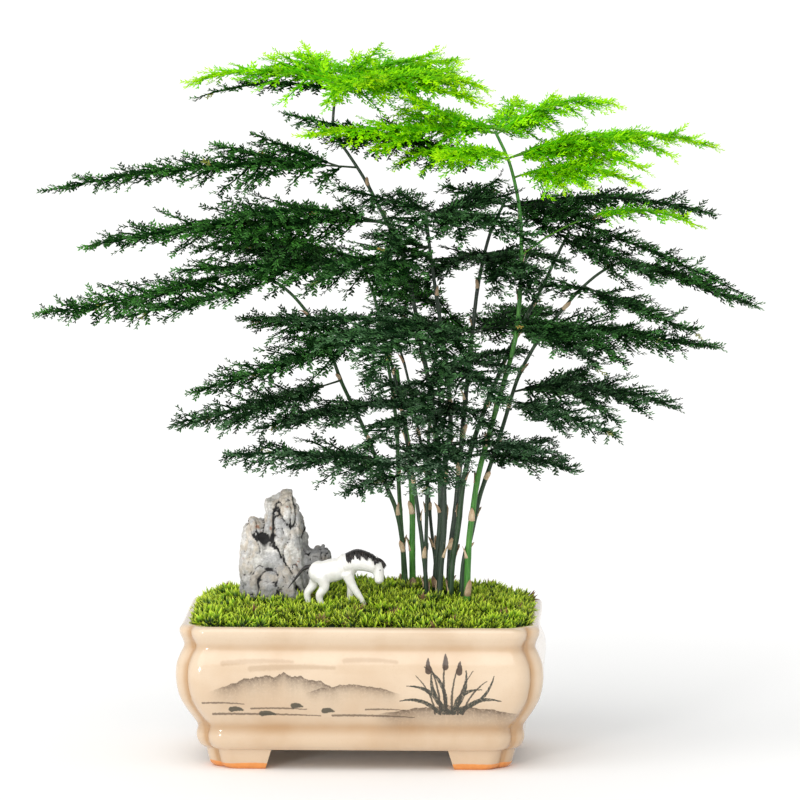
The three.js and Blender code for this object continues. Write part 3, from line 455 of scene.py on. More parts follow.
FRONT_FACE = -60.0
REEDS = [
    (47, 35, 40, 66, -2.0, 0.6), (51, 35, 50, 69, 1.4, 0.7), (54, 35, 58, 65, 1.8, 0.6),
    (57, 35, 66, 61, 2.2, 0.55), (44, 35, 33, 58, -2.4, 0.5), (60, 35, 74, 55, 2.4, 0.5),
]
REED_BLADES = [
    (49, 36, 28, 52, -5, 1.5), (52, 36, 42, 60, 3.4, 1.6), (55, 36, 71, 50, 5, 1.5),
    (53, 36, 62, 61, -3, 1.5), (46, 36, 24, 43, -3.5, 1.3), (59, 36, 82, 43, 4, 1.4),
    (50, 40, 38, 63, -4, 1.2), (56, 38, 78, 58, -5, 1.2),
]
REED_HEADS = [(40.2, 60.5, 39.9, 67.5), (50.1, 63, 50, 70), (58, 60, 58.4, 66)]
WATER_LINES = [
    (-84, 34.2, -22, 33.4, 0.5), (-62, 37.8, -30, 37.4, 0.35), (-15, 33.6, 32, 32.6, 0.5),
    (4, 37.4, 26, 37.1, 0.3), (-90, 41, -66, 40.6, 0.3),
]
MIST_BANDS = [(-78, 64.5, -38, 65.4, 0.7), (-62, 61.4, -14, 62.2, 0.9), (-8, 66.2, 22, 65.6, 0.6)]
PADS = [(-70, 37.2, 6.5), (-52, 34.6, 7.5), (-35, 39.6, 5), (-17, 36.6, 5.5)]  # X, Z, width
BANKS = [(52, 33.4, 46, 7.0, 6.0), (-46, 47.0, 42, 12.0, 5.5), (-4, 46.6, 30, 6.5, 3.6)]  # the wash's inputs


def darkest(n, masks):
    ink = masks[0]
    for mask in masks[1:]:
        ink = n.calc("MAXIMUM", ink, mask)
    return ink


def strokes(n, point, rows, soft):
    """The darkest of several brush strokes at each place."""
    masks = []
    for x0, z0, x1, z1, bow, width in rows:
        ends = {"Start": (x0, 0, z0), "End": (x1, 0, z1)}
        masks.append(n.place(BRUSH_STROKE, Point=point, Bow=bow, Width=width, Soft=soft, **ends)["Ink"])
    return darkest(n, masks)


def washes(n, point):
    """The darkest of the banks' washes at each place."""
    masks = []
    for middle, base, half, height, fade in BANKS:
        sizes = {"Middle": middle, "Base": base, "Half_width": half, "Height": height, "Fade": fade}
        masks.append(n.place(INK_WASH, Point=point, **sizes)["Ink"])
    return darkest(n, masks)


def painted(n, ground):
    """The ground colour with the ink design over it, on the front face alone."""
    x, y, z = n.split(n.where)
    flat = n.gather(x, 0.0, z)
    shake = n.put("ShaderNodeTexNoise", {"Vector": flat, "Scale": 0.6, "Detail": 3.0}).outputs[1]
    centred = n.vector("SUBTRACT", shake, (0.5, 0.5, 0.5))
    shaken = n.vector("MULTIPLY_ADD", centred, (1.1, 0.0, 1.1), flat)
    dry = n.ease(n.noise(flat, 1.6, 4.0, 0.7), 0.3, 0.55, 0.55, 1.0)
    mist = [(a, b, c, d, 0.8, width) for a, b, c, d, width in MIST_BANDS]
    water = [(a, b, c, d, 0.5, width) for a, b, c, d, width in WATER_LINES]
    pads = [(x - width / 2, z, x + width / 2, z - 0.3, 0.5, 1.5) for x, z, width in PADS]
    heads = [(a, b, c, d, 0.0, 1.7) for a, b, c, d in REED_HEADS]
    colour = n.coats(ground, [
        (strokes(n, shaken, mist, 1.6), 0.3, (0.28, 0.16, 0.07)),
        (washes(n, flat), n.times(dry, 0.95), (0.06, 0.03, 0.01)),
        (strokes(n, shaken, water, 0.5), 0.75, (0.06, 0.032, 0.013)),
        (strokes(n, shaken, pads, 0.7), 0.92, (0.03, 0.028, 0.012)),
        (strokes(n, shaken, REED_BLADES, 0.35), dry, (0.022, 0.024, 0.012)),
        (strokes(n, shaken, REEDS, 0.3), 0.9, (0.03, 0.024, 0.012)),
        (strokes(n, shaken, heads, 0.4), 0.95, (0.045, 0.022, 0.01)),
    ])
    return n.mix(n.ease(y, FRONT_FACE + 2.0, FRONT_FACE), ground, colour)


# Materials

def cream_glaze():
    """Cream glaze that pools tan in the grooves, the waist and under the rim, and turns tanner towards the
    bottom, on an orange clay foot.
    """
    n = Look("cream_glaze", 0.2, Coat_Weight=0.6, Coat_Roughness=0.05)
    height = n.split(n.where)[2]
    # Tanner towards the bottom
    low = n.ease(height, 52.0, 18.0, 0.0, 0.22)
    cloud = n.ease(n.noise(n.where, 34.0), 0.35, 0.7)
    tan_amount = n.clamp(n.fit(cloud, 0.3, n.calc("ADD", n.read("pool"), low)))
    colour = n.mix(tan_amount, (0.68, 0.535, 0.385), (0.47, 0.285, 0.14))
    speck = n.ease(n.noise(n.where, 0.9, 2.0), 0.55, 0.75, 0.0, 0.16)
    colour = painted(n, n.mix(speck, colour, (0.52, 0.35, 0.21)))
    foot_line = n.fit(n.noise(n.where, 12.0), 2.4, 2.4)
    bare = n.ease(n.minus(height, foot_line), 0.3, -0.1)
    clay = n.mix(n.noise(n.where, 3.0), (0.86, 0.36, 0.09), (0.62, 0.22, 0.05))
    n.link(n.fit(bare, 0.55, 0.17), n.shader["Roughness"])
    ripple = n.fit(n.noise(n.where, 2.2, 2.0), 0.12, n.noise(n.where, 16.0, 1.0))
    return n.done(n.mix(bare, colour, clay), ripple, 0.6)


def potting_mix():
    """Dark crumbs with a few of brown bark."""
    n = Look("potting_mix", 0.95)
    grain = n.place(NATURAL_GRAIN, Point=n.where, Size=5.0)
    colour = n.mix(grain["Patches"], (0.018, 0.011, 0.007), (0.075, 0.04, 0.02))
    bark = n.ease(n.read("shade"), 0.7, 0.95)
    return n.done(n.mix(bark, colour, (0.24, 0.11, 0.05)), grain["Height"], 0.9)


def moss_green():
    """Moss shoots: near black at the root as painted shade between them, lime above, pale at the tips, with a
    few brown ones.
    """
    n = Look("moss_green", 0.55)
    shade, tip = n.read("shade"), n.read("tip")
    patches = n.ease(n.noise(n.where, 17.0), 0.38, 0.64)
    lime = n.mix(n.calc("POWER", shade, 1.4), (0.02, 0.11, 0.001), (0.42, 0.82, 0.003))
    fresh = n.mix(n.times(patches, 0.6), lime, (0.36, 0.5, 0.01))
    tipped = n.mix(n.ease(tip, 0.55, 1.0, 0.0, 0.85), fresh, (0.86, 1.0, 0.08))
    # Painted shade: each shoot turns near black towards its root
    root_shade = n.mix(n.ease(tip, 0.2, 0.85), (0.003, 0.014, 0.001), tipped)
    brown = n.mix(n.ease(tip, 0.0, 1.0), (0.05, 0.025, 0.01), (0.3, 0.16, 0.07))
    return n.done(n.mix(n.ease(shade, 0.965, 0.975), root_shade, brown))


def weathered_limestone():
    """Pale stone, blue-grey, tan and rusty in places, darker lower down, with painted shade to the right and
    near-black painted shade in its cracks.
    """
    n = Look("weathered_limestone", 0.82)
    grain = n.place(NATURAL_GRAIN, Point=n.where, Size=9.0)
    fine = n.place(NATURAL_GRAIN, Point=n.where, Size=2.6)
    x, _, z = n.split(n.where)
    blue = n.ease(n.noise(n.where, 13.0, 4.0), 0.47, 0.6)
    tan = n.ease(n.noise(n.vector("ADD", n.where, (71.0, 13.0, 5.0)), 10.0, 4.0), 0.5, 0.64)
    rust = n.ease(n.noise(n.vector("ADD", n.where, (11.0, 47.0, 29.0)), 6.0), 0.66, 0.72)
    colour = n.coats(n.mix(grain["Grain"], (0.64, 0.61, 0.56), (0.97, 0.95, 0.91)), [
        (blue, 0.36, (0.2, 0.23, 0.28)),
        (tan, 0.5, (0.66, 0.53, 0.37)),
        (rust, 0.7, (0.42, 0.14, 0.05)),
        (fine["Patches"], 0.28, (0.09, 0.09, 0.095)),
    ])
    # Painted shade: darker to the right, away from the light
    colour = n.mix(n.ease(x, -41.0, -27.0, 0.0, 0.6), colour, (0.06, 0.062, 0.07))
    colour = n.mix(n.ease(z, 122.0, 92.0, 0.0, 0.6), colour, (0.09, 0.092, 0.1))
    # Painted shade: near black down in the stone's cracks
    colour = n.mix(n.ease(n.read("crevice"), 0.4, 0.8), colour, (0.018, 0.017, 0.017))
    return n.done(colour, n.fit(fine["Height"], 0.35, grain["Height"]), 1.6)


def white_porcelain():
    """White glaze, a little grey and warm in patches, with dark eyes and nostrils and faintly darkened
    hooves.
    """
    n = Look("white_porcelain", 0.3, Coat_Weight=0.4, Coat_Roughness=0.12)
    colour = n.mix(n.ease(n.noise(n.where, 5.0), 0.35, 0.7), (0.9, 0.89, 0.86), (0.8, 0.78, 0.73))
    return n.done(n.mix(n.read("painted"), colour, (0.03, 0.026, 0.024)), n.noise(n.where, 1.4), 0.08)


def black_paint():
    """Black paint with brushed brown-grey wear in patches."""
    n = Look("black_paint", 0.38)
    worn = n.ease(n.noise(n.where, 1.1, 4.0, 0.7), 0.52, 0.7)
    colour = n.mix(worn, (0.008, 0.007, 0.007), (0.085, 0.062, 0.05))
    return n.done(colour, n.noise(n.where, 0.7), 0.2)


def cane_skin():
    """Green cane skin, streaked along its length: fresh green on young canes, near black on old ones."""
    n = Look("cane_skin", 0.42, Coat_Weight=0.08)
    stretched = n.vector("MULTIPLY", n.where, (1.0, 1.0, 0.08))
    streaks = n.ease(n.noise(stretched, 0.9), 0.35, 0.68)
    old = n.mix(streaks, (0.005, 0.015, 0.007), (0.018, 0.048, 0.022))
    young = n.mix(streaks, (0.03, 0.19, 0.012), (0.085, 0.33, 0.025))
    green = n.mix(n.calc("POWER", n.read("fresh"), 1.6), old, young)
    spots = n.ease(n.noise(n.where, 2.2, 4.0, 0.7), 0.64, 0.7, 0.0, 0.6)
    return n.done(n.mix(spots, green, (0.3, 0.25, 0.16)), streaks, 0.15)


def papery_sheath():
    """Dry papery scale: cream with tan fibres, browner to its tip."""
    n = Look("papery_sheath", 0.75)
    stretched = n.vector("MULTIPLY", n.where, (1.0, 1.0, 0.15))
    fibres = n.ease(n.noise(stretched, 0.45), 0.3, 0.7)
    cream = n.mix(fibres, (0.62, 0.42, 0.24), (0.88, 0.74, 0.52))
    tipped = n.mix(n.ease(n.read("tip"), 0.5, 1.0, 0.0, 0.55), cream, (0.36, 0.16, 0.075))
    return n.done(n.mix(n.read("shade"), tipped, (0.3, 0.15, 0.08)), fibres, 0.12)


def old_needles():
    """Mature needles: deep green, partly with painted light and shade from sprig to sprig, a glaucous painted
    sheen where the light lies on them, painted shade at their roots, a few turned yellow.
    """
    n = Look("old_needles", 0.6, Specular_IOR_Level=0.04)
    shade, bloom, vivid, tip = (n.read(name) for name in ("shade", "bloom", "vivid", "tip"))
    clumps = n.ease(n.noise(n.where, 11.0), 0.35, 0.65)
    # Tone varies at random from sprig to sprig, partly as painted light and shade, from near black to a lit
    # green
    lit = n.calc("POWER", shade, 1.6)
    deep = n.mix(lit, (0.001, 0.014, 0.001), (0.055, 0.25, 0.028))
    grassy = n.mix(lit, (0.001, 0.028, 0.001), (0.06, 0.3, 0.012))
    glaucous = n.mix(lit, (0.016, 0.062, 0.022), (0.28, 0.46, 0.29))
    # Partly painted sheen: a glaucous tint where the light falls on the fronds
    colour = n.mix(n.times(bloom, n.fit(clumps, 0.6, 0.4)), n.mix(vivid, deep, grassy), glaucous)
    # Painted shade: near black at the needles' roots and on the twig cores among them
    colour = n.mix(n.ease(tip, 0.1, 0.7), n.mix(0.8, colour, (0.001, 0.006, 0.001)), colour)
    return n.done(n.mix(n.ease(shade, 0.996, 0.998), colour, (0.5, 0.34, 0.08)))


def young_needles():
    """New needles: bright lime, yellower at the ends of the twigs."""
    n = Look("young_needles", 0.6, Specular_IOR_Level=0.06)
    clumps = n.ease(n.noise(n.where, 14.0), 0.36, 0.66)
    colour = n.mix(n.read("shade"), (0.1, 0.5, 0.001), (0.44, 0.98, 0.002))
    colour = n.mix(n.times(clumps, 0.5), colour, (0.03, 0.24, 0.001))
    return n.done(n.mix(n.ease(n.read("outer"), 0.5, 1.0, 0.0, 0.6), colour, (0.62, 0.92, 0.005)))


def twig_bark(name, low, high):
    n = Look(name, 0.6)
    streaks = n.noise(n.vector("MULTIPLY", n.where, (1.0, 1.0, 0.3)), 1.2)
    return n.done(n.mix(streaks, low, high), streaks, 0.08)


def pale_floor():
    n = Look("pale_floor", 0.9)
    tone = n.ease(n.noise(n.where, 900.0), 0.3, 0.7)
    return n.done(n.mix(tone, (0.93, 0.93, 0.93), (0.95, 0.95, 0.95)))


# Growing repeats with geometry nodes

# Painted shade: the near-black tone of a twig's core among its needles
CORE_SHADE = 0.42  # of a twig's core under its needles, on the needles' scale from foot to tip


class Growth(Group):
    """A geometry node tree in the making that takes a geometry and named inputs, and gives a geometry."""

    def __init__(self, name, inputs):
        whole = {"Geometry": "Geometry"}
        super().__init__(name, "GeometryNodeTree", whole | inputs, whole)

    def kept(self, name, data_type="FLOAT"):
        made = self.put("GeometryNodeInputNamedAttribute", {"Name": name}, data_type=data_type)
        return made.outputs["Attribute"]

    def chance(self, low, high, seed):
        inputs = {2: low, 3: high, "Seed": seed}
        return self.put("FunctionNodeRandomValue", inputs, data_type="FLOAT").outputs[1]

    def keep(self, geometry, name, value, domain):
        inputs = {"Geometry": geometry, "Name": name, "Value": value}
        return self.out("GeometryNodeStoreNamedAttribute", inputs, data_type="FLOAT", domain=domain)

    def cover(self, geometry, material, **more):
        inputs = {"Geometry": geometry, "Material": self.given[material], **more}
        return self.out("GeometryNodeSetMaterial", inputs)

    def shape(self, name):
        return self.put("GeometryNodeObjectInfo", {"Object": self.given[name]}).outputs["Geometry"]

    def turn(self, x, y, z):
        return self.out("FunctionNodeEulerToRotation", {0: self.gather(x, y, z)})

    def copies(self, shade_seed, material, **inputs):
        """Real copies of a shape on points, each with a shade of its own."""
        made = self.out("GeometryNodeInstanceOnPoints", inputs)
        made = self.keep(made, "shade", self.chance(0.0, 1.0, shade_seed), "INSTANCE")
        return self.cover(self.out("GeometryNodeRealizeInstances", {"Geometry": made}), material)


def feathery_twigs_tree():
    """Threads of edges become three-sided twigs, with sprigs of needles to their left and right in turn."""
    n = Growth("Feathery twigs", {
        "Sprig": "Object", "Sprig spacing": "Float", "Roll": "Float", "Lift": "Float", "Seed": "Int",
        "Twig material": "Material", "Needle material": "Material",
    })
    threads = n.out("GeometryNodeMeshToCurve", {"Mesh": n.given["Geometry"]})
    ring = n.out("GeometryNodeCurvePrimitiveCircle", {"Resolution": 3, "Radius": 1.0})
    sweep = {"Curve": threads, "Profile Curve": ring, "Scale": n.kept("thickness"), "Fill Caps": True}
    twigs = n.out("GeometryNodeCurveToMesh", sweep)
    sprig_size = n.kept("sprig_size")
    least = {"A": sprig_size, "B": 0.2}
    leafy = n.out("FunctionNodeCompare", least, data_type="FLOAT", operation="GREATER_THAN")
    bark = n.cover(twigs, "Twig material")
    # The cores under the needles carry painted shade, near black among the needles
    shaded_cores = n.keep(n.cover(bark, "Needle material", Selection=leafy), "tip", CORE_SHADE, "POINT")
    stops = {"Curve": threads, "Length": n.given["Sprig spacing"]}
    tangent = n.out("GeometryNodeInputTangent")
    facing = n.out("FunctionNodeAlignRotationToVector", {"Vector": tangent}, axis="X")
    plane = {"Rotation": facing, "Vector": n.kept("plane", "FLOAT_VECTOR")}
    flat = n.out("FunctionNodeAlignRotationToVector", plane, axis="Z", pivot_axis="X")
    side = n.fit(n.calc("MODULO", n.out("GeometryNodeInputIndex"), 2.0), 2.0, -1.0)
    splay = n.times(side, n.times(n.kept("splay"), n.chance(0.75, 1.2, 4)))
    roll = n.times(n.given["Roll"], n.chance(-1.0, 1.0, n.given["Seed"]))
    lift = n.times(n.given["Lift"], n.chance(-1.0, 1.0, 5))
    turned = {"Rotation": flat, "Rotate By": n.turn(roll, lift, splay)}
    needles = n.copies(
        3, "Needle material",
        Points=n.out("GeometryNodeResampleCurve", stops, mode="LENGTH"),
        Selection=leafy,
        Instance=n.shape("Sprig"),
        Rotation=n.out("FunctionNodeRotateRotation", turned, rotation_space="LOCAL"),
        Scale=n.times(sprig_size, n.chance(0.8, 1.15, 7)),
    )
    whole = n.put("GeometryNodeJoinGeometry")
    n.link(needles, whole.inputs[0])
    n.link(shaded_cores, whole.inputs[0])
    n.link(whole.outputs[0], n.result[0])
    return n.tree


def standing_repeats_tree():
    """Copies of a small shape stand at random, evenly spaced places on a surface, turned and leaned."""
    n = Growth("Standing repeats", {
        "Shape": "Object", "Spacing": "Float", "Lean": "Float", "Smallest": "Float", "Largest": "Float",
        "Seed": "Int", "Material": "Material",
    })
    surface = {
        "Mesh": n.given["Geometry"], "Distance Min": n.given["Spacing"], "Density Max": 4.0e6,
        "Density Factor": n.kept("density"), "Seed": n.given["Seed"],
    }
    less = n.times(n.given["Lean"], -1.0)
    leans = [n.chance(less, n.given["Lean"], seed) for seed in (21, 22)]
    copies = n.copies(
        25, "Material",
        Points=n.out("GeometryNodeDistributePointsOnFaces", surface, distribute_method="POISSON"),
        Instance=n.shape("Shape"),
        Rotation=n.turn(*leans, n.chance(0.0, 2 * math.pi, 23)),
        Scale=n.chance(n.given["Smallest"], n.given["Largest"], 24),
    )
    n.link(copies, n.result[0])
    return n.tree


def grow(piece, tree, **values):
    """Runs a growth tree on the piece and leaves a plain mesh."""
    modifier = piece.modifiers.new("growth", "NODES")
    modifier.node_group = tree
    wanted = {name.replace("_", " "): value for name, value in values.items()}
    for item in tree.interface.items_tree:
        if item.in_out == "INPUT" and item.name in wanted:
            modifier[item.identifier] = wanted[item.name]
    return settle(piece)


FEATHERY_TWIGS = feathery_twigs_tree()
STANDING_REPEATS = standing_repeats_tree()


def cover_with(piece, shape, material, spacing, lean, sizes, seed):
    """Turns a surface into standing copies of a shape, and removes the shape itself."""
    set_values(piece, "density", 1.0)
    grow(
        piece, STANDING_REPEATS, Shape=shape, Spacing=spacing * MM, Lean=lean, Smallest=sizes[0],
        Largest=sizes[1], Seed=seed, Material=material,
    )
    remove(shape)


def blade(root, tip, width, keel, across):
    """A slender closed leaf of four faces: a long keel edge above and a short cross edge below."""
    root, tip, across = (np.array(v, float) for v in (root, tip, across))
    middle = root * 0.6 + tip * 0.4
    up = np.cross(tip - root, across)
    up *= keel / np.linalg.norm(up)
    left, right = middle + across * width / 2 - up, middle - across * width / 2 - up
    return [root, tip, left, right], [(0, 2, 1), (0, 1, 3), (0, 3, 2), (1, 2, 3)]


def shape_of_blades(name, blades):
    """A small source shape, in metres round its own origin, from several blades."""
    points, faces, values = [], [], []
    for root, tip, width, keel, across in blades:
        made, around = blade(root, tip, width, keel, across)
        faces += [tuple(len(points) + i for i in face) for face in around]
        points += made
        values += [0.0, 1.0, 0.45, 0.45]
    mesh = bpy.data.meshes.new(name)
    mesh.from_pydata((np.array(points) * MM).tolist(), [], faces)
    face_outwards(mesh)
    shape = add_object(name, mesh)
    set_values(shape, "tip", values)
    return shape


def sprig(name, pairs, length, needle, width, angle, rise):
    """A twiglet along +X, flat in XY, with needles in pairs along it that grow shorter towards its tip."""
    blades = [((-0.3, 0, 0), (length, 0, 0), 0.55, 0.18, (0, 1, 0))]
    for number in range(pairs):
        share = (number + 0.3) / pairs
        for side in (1, -1):
            turn = math.radians(angle) * side
            reach = needle * (1.1 - 0.5 * share)
            lift = rise * (1 if (number + (side > 0)) % 2 else -0.8)
            foot = np.array([length * share, 0, 0])
            tip = foot + reach * np.array([math.cos(turn), math.sin(turn), lift])
            blades.append((foot, tip, width, width * 0.3, (-math.sin(turn), math.cos(turn), 0)))
    return shape_of_blades(name, blades)


# For each tier of a moss shoot: its leaves, their lean in degrees, their length and twice their foot's height
MOSS_TIERS = [(6, 78, 4.6, 1.6), (5, 52, 5.0, 2.2), (4, 24, 4.8, 3.0)]


def moss_shoot():
    """A rosette of narrow leaves in three tiers, the inner ones more upright."""
    blades = []
    for tier, (count, lean, length, foot) in enumerate(MOSS_TIERS):
        for number in range(count):
            turn = 2 * math.pi * (number + 0.37 * tier) / count
            out, up = math.sin(math.radians(lean)), math.cos(math.radians(lean))
            root = (0, 0, foot * 0.5)
            tip = (length * out * math.cos(turn), length * out * math.sin(turn), foot * 0.5 + length * up)
            blades.append((root, tip, 1.35, 0.3, (-math.sin(turn), math.cos(turn), 0)))
    return shape_of_blades("moss_shoot", blades)


# The pot

def pot_outline(z, inset):
    """The pot's outline at one level, anticlockwise: two rounded lobes and a groove at each corner."""
    half_length, half_depth = POT_HALF_LENGTH - inset, POT_HALF_DEPTH - inset
    to_groove = math.asin((LOBE_RADIUS - NOTCH_DEPTH) / LOBE_RADIUS)
    along_face = NOTCH_DEPTH + LOBE_RADIUS * math.cos(to_groove)
    lobe = []
    for i in range(LOBE_STEPS + 1):
        angle = -math.pi / 2 + i / LOBE_STEPS * (math.pi / 2 - to_groove)
        lobe.append((LOBE_RADIUS * math.cos(angle) - along_face, LOBE_RADIUS * (1 + math.sin(angle))))
    front = lobe + [(-across, -run) for run, across in reversed(lobe[:-1])]
    back = [(dx, -dy) for dx, dy in reversed(front)]
    corners = []
    for sign in (1, -1):
        for side, bend in ((-1, front), (1, back)):
            corners.append([(sign * (half_length + dx), sign * (side * half_depth + dy)) for dx, dy in bend])
    ring = []
    for number, corner in enumerate(corners):
        ring += corner
        following = corners[(number + 1) % 4]
        steps = SIDE_STEPS if number % 2 == 0 else FRONT_STEPS
        (x0, y0), (x1, y1) = corner[-1], following[0]
        ring += [(x0 + (x1 - x0) * i / steps, y0 + (y1 - y0) * i / steps) for i in range(1, steps)]
    return [(x, y, z) for x, y in ring]


def fine_profile(levels, steps):
    """The profile's levels with smooth ones between them."""
    points = [(z, inset, 0) for z, inset in levels]
    count = (len(points) - 1) * steps
    return [curve_point(points, i / count)[:2] for i in range(count + 1)]


def prism(name, section, half, turned):
    """A bar of the given XZ section that runs right through the foot ring, front to back or turned."""
    ends = [[(x, y, z) for x, z in section] for y in (half, -half)]
    points, faces = skin(ends)
    if turned:
        points = [(-y, x, z) for x, y, z in points]
    return new_piece(name, points, faces, smooth=False)


def foot_gap(half, turned):
    narrow = half - FOOT_GAP_TAPER
    section = [(-half, -1), (half, -1), (narrow, FOOT_HEIGHT), (-narrow, FOOT_HEIGHT)]
    return prism("foot_gap", section, POT_HALF_LENGTH, turned)


def drain(x):
    path = [(x, 0, z) for z in (0, 20, 40)]
    return new_piece("drain", *tube(path, [DRAIN_RADIUS] * 3, 32))


def glaze_pooling(piece):
    """Marks where the glaze lies thick: in the waist, under the rim and in the corner grooves."""
    heights, insets = zip(*POT_PROFILE[:OUTER_LEVELS])
    values = []
    for x, y, z in locations(piece):
        neck = 0.8 * math.exp(-(((z - NECK_LEVEL) / 2.6) ** 2))
        waist = math.exp(-(((z - WAIST_LEVEL) / 3.2) ** 2)) + neck
        lip = 0.35 * ramp(z, 84.4, 85.2) + 0.5 * ramp(15, 13.5, 11.5) * (z < 14)
        inset = np.interp(min(z, 84), heights, insets)
        toward_x = POT_HALF_LENGTH - inset - abs(x)
        toward_y = POT_HALF_DEPTH - inset - abs(y)
        near = ramp(15 - max(toward_x, toward_y), 0, 5)
        groove = near * math.exp(-(((toward_x - toward_y) / 3.4) ** 2))
        values.append(min(1.0, 0.55 * waist + lip + 0.95 * groove))
    set_values(piece, "pool", values)


def make_pot():
    rings = [pot_outline(z, inset) for z, inset in fine_profile(POT_PROFILE, POT_STEPS)]
    pot = new_piece("glazed_pot", *skin(rings))
    foot_rings = [pot_outline(z, inset) for z, inset in fine_profile(FOOT_PROFILE, FOOT_STEPS)]
    feet = new_piece("feet", *skin(foot_rings))
    inner = FOOT_PROFILE[0][1] + FOOT_WALL
    length, depth = POT_HALF_LENGTH - inner, POT_HALF_DEPTH - inner
    hollow = [(-length, -9), (length, -9), (length, FOOT_HEIGHT), (-length, FOOT_HEIGHT)]
    combine(feet, prism("hollow", hollow, depth, False), "DIFFERENCE")
    combine(feet, foot_gap(FOOT_GAP_FRONT, False), "DIFFERENCE")
    combine(feet, foot_gap(FOOT_GAP_SIDE, True), "DIFFERENCE")
    sharp = math.radians(38)
    modify(feet, "BEVEL", width=FOOT_BEVEL * MM, segments=3, limit_method="ANGLE", angle_limit=sharp)
    combine(pot, feet, "UNION")
    for x in (-DRAIN_OFFSET, DRAIN_OFFSET):
        combine(pot, drain(x), "DIFFERENCE")
    places = locations(pot)
    for number, (x, y, z) in enumerate(places):
        wobble = noise.noise(Vector((x, y, z)) / WOBBLE_SIZE) * WOBBLE
        if z > FOOT_HEIGHT + 2:
            places[number][:2] *= 1 + wobble / WOBBLE_REACH
    set_locations(pot, places)
    glaze_pooling(pot)
    pot.data.materials.clear()
    pot.data.materials.append(cream_glaze())
    shade_smooth(pot)
    pot.data.set_sharp_from_angle(angle=math.radians(50))
    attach(pot, "root")
    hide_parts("pot")


# The ground

MOSS_RINGS = 46
MOSS_SPACING = 3.5
MOSS_SKIRT = 3.5  # how far the shoots grow down the moss's edge
SOIL_RINGS = 30
CRUMB_RINGS = 14  # of the soil's, round the canes, that carry crumbs
CRUMB_SPACING = 2.5
CRUMB_RADIUS = 0.9
SOIL_MIDDLE = 0.02  # how near the clump's middle the soil's rings close


def moss_height(x, y):
    """How high the moss stands at a place inside the pot."""
    crown = max(0.0, (1 - (x / (POT_HALF_LENGTH - 10)) ** 2) * (1 - (y / (POT_HALF_DEPTH - 10)) ** 2))
    wave_x = math.sin(x * 0.23 + 1.3 * math.sin(y * 0.11))
    wave_y = math.cos(y * 0.27 + 0.9 * math.sin(x * 0.09))
    broad = 2.0 * noise.noise(Vector((x / 13, y / 13, 3)))
    cushion = broad + 0.9 * noise.noise(Vector((x / 4.5, y / 4.5, 9)))
    return MOSS_EDGE + MOSS_RISE * (1 + MOSS_LEAN * y) * math.sqrt(crown) + 1.1 * wave_x * wave_y + cushion


def toward_clump(share, inset, reach):
    """A ring between the mouth's outline (share 0) and the canes' clearing (share 1)."""
    ring = []
    for x, y, _ in pot_outline(0, inset):
        angle = math.atan2((y - CLUMP[1]) / CLUMP_HALF[1], (x - CLUMP[0]) / CLUMP_HALF[0])
        inner_x = CLUMP[0] + CLUMP_HALF[0] * reach * math.cos(angle)
        inner_y = CLUMP[1] + CLUMP_HALF[1] * reach * math.sin(angle)
        ring.append((x + (inner_x - x) * share, y + (inner_y - y) * share))
    return ring


def make_moss():
    """A bumpy bed with a clearing for the canes, grown over with shoots."""
    shares = [k / MOSS_RINGS for k in range(MOSS_RINGS + 1)]
    rings = [toward_clump(share, MOUTH_INSET + GAP, CLEARING) for share in shares]
    top = [[(x, y, moss_height(x, y) - MOSS_SINK) for x, y in ring] for ring in rings]
    bottom = [[(x, y, SOIL_TOP + GAP) for x, y in ring] for ring in (rings[-1], rings[0])]
    loops = top + bottom
    points, faces = skin(loops + [loops[0]], closed=False)
    count = len(rings[0])
    first_copy = len(loops) * count
    faces = [tuple(i - first_copy if i >= first_copy else i for i in face) for face in faces]
    bed = new_piece("moss_bed", points[:first_copy], faces)
    skirt = [(x, y, MOSS_EDGE - MOSS_SKIRT) for x, y in rings[0]]
    grown = new_piece("moss_shoots", *skin([skirt] + top, closed=False))
    green = moss_green()
    cover_with(grown, moss_shoot(), green, MOSS_SPACING, 0.8, (0.65, 1.5), 5)
    bed.data.materials.append(green)
    # The bed takes the near-black root colour: painted shade in the gaps between the shoots
    set_values(bed, "tip", 0.1)
    set_values(bed, "shade", 0.3)
    moss = join("moss_cushion", [bed, grown])
    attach(moss, "root")
    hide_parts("moss")


def crumb():
    """A small angular crumb of bark or clay."""
    mesh = bpy.data.meshes.new("crumb")
    solid = bmesh.new()
    bmesh.ops.create_icosphere(solid, subdivisions=1, radius=CRUMB_RADIUS * MM)
    for vertex in solid.verts:
        vertex.co.x *= 1.5
        vertex.co.z *= 0.7
    solid.to_mesh(mesh)
    solid.free()
    return add_object("crumb", mesh)


def make_soil():
    """Potting mix that fills the pot, mounded round the canes, with crumbs on the mound."""
    wall = [(z + GAP, inset + GAP) for z, inset in reversed(POT_PROFILE[-INNER_LEVELS:]) if z < SOIL_TOP]
    rings = [pot_outline(z, inset) for z, inset in wall]
    for k in range(SOIL_RINGS + 1):
        ring = []
        for x, y in toward_clump(k / SOIL_RINGS, MOUTH_INSET + GAP, SOIL_MIDDLE):
            off = math.hypot((x - CLUMP[0]) / CLUMP_HALF[0], (y - CLUMP[1]) / CLUMP_HALF[1])
            mound = CLUMP_RISE * math.sqrt(max(0.0, 1 - off * off))
            rough = 0.0 if k == 0 else 0.7 * noise.noise(Vector((x / 3, y / 3, 1)))
            ring.append((x, y, SOIL_TOP + mound * 0.96 + rough * (off < 1)))
        rings.append(ring)
    mix = potting_mix()
    ground = new_piece("soil_ground", *skin(rings))
    ground.data.materials.append(mix)
    set_values(ground, "shade", 0.2)
    patch = new_piece("soil_crumbs", *skin(rings[-CRUMB_RINGS:], closed=False))
    cover_with(patch, crumb(), mix, CRUMB_SPACING, 1.2, (0.5, 1.5), 8)
    soil = join("potting_soil", [ground, patch])
    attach(soil, "root")
    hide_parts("soil")


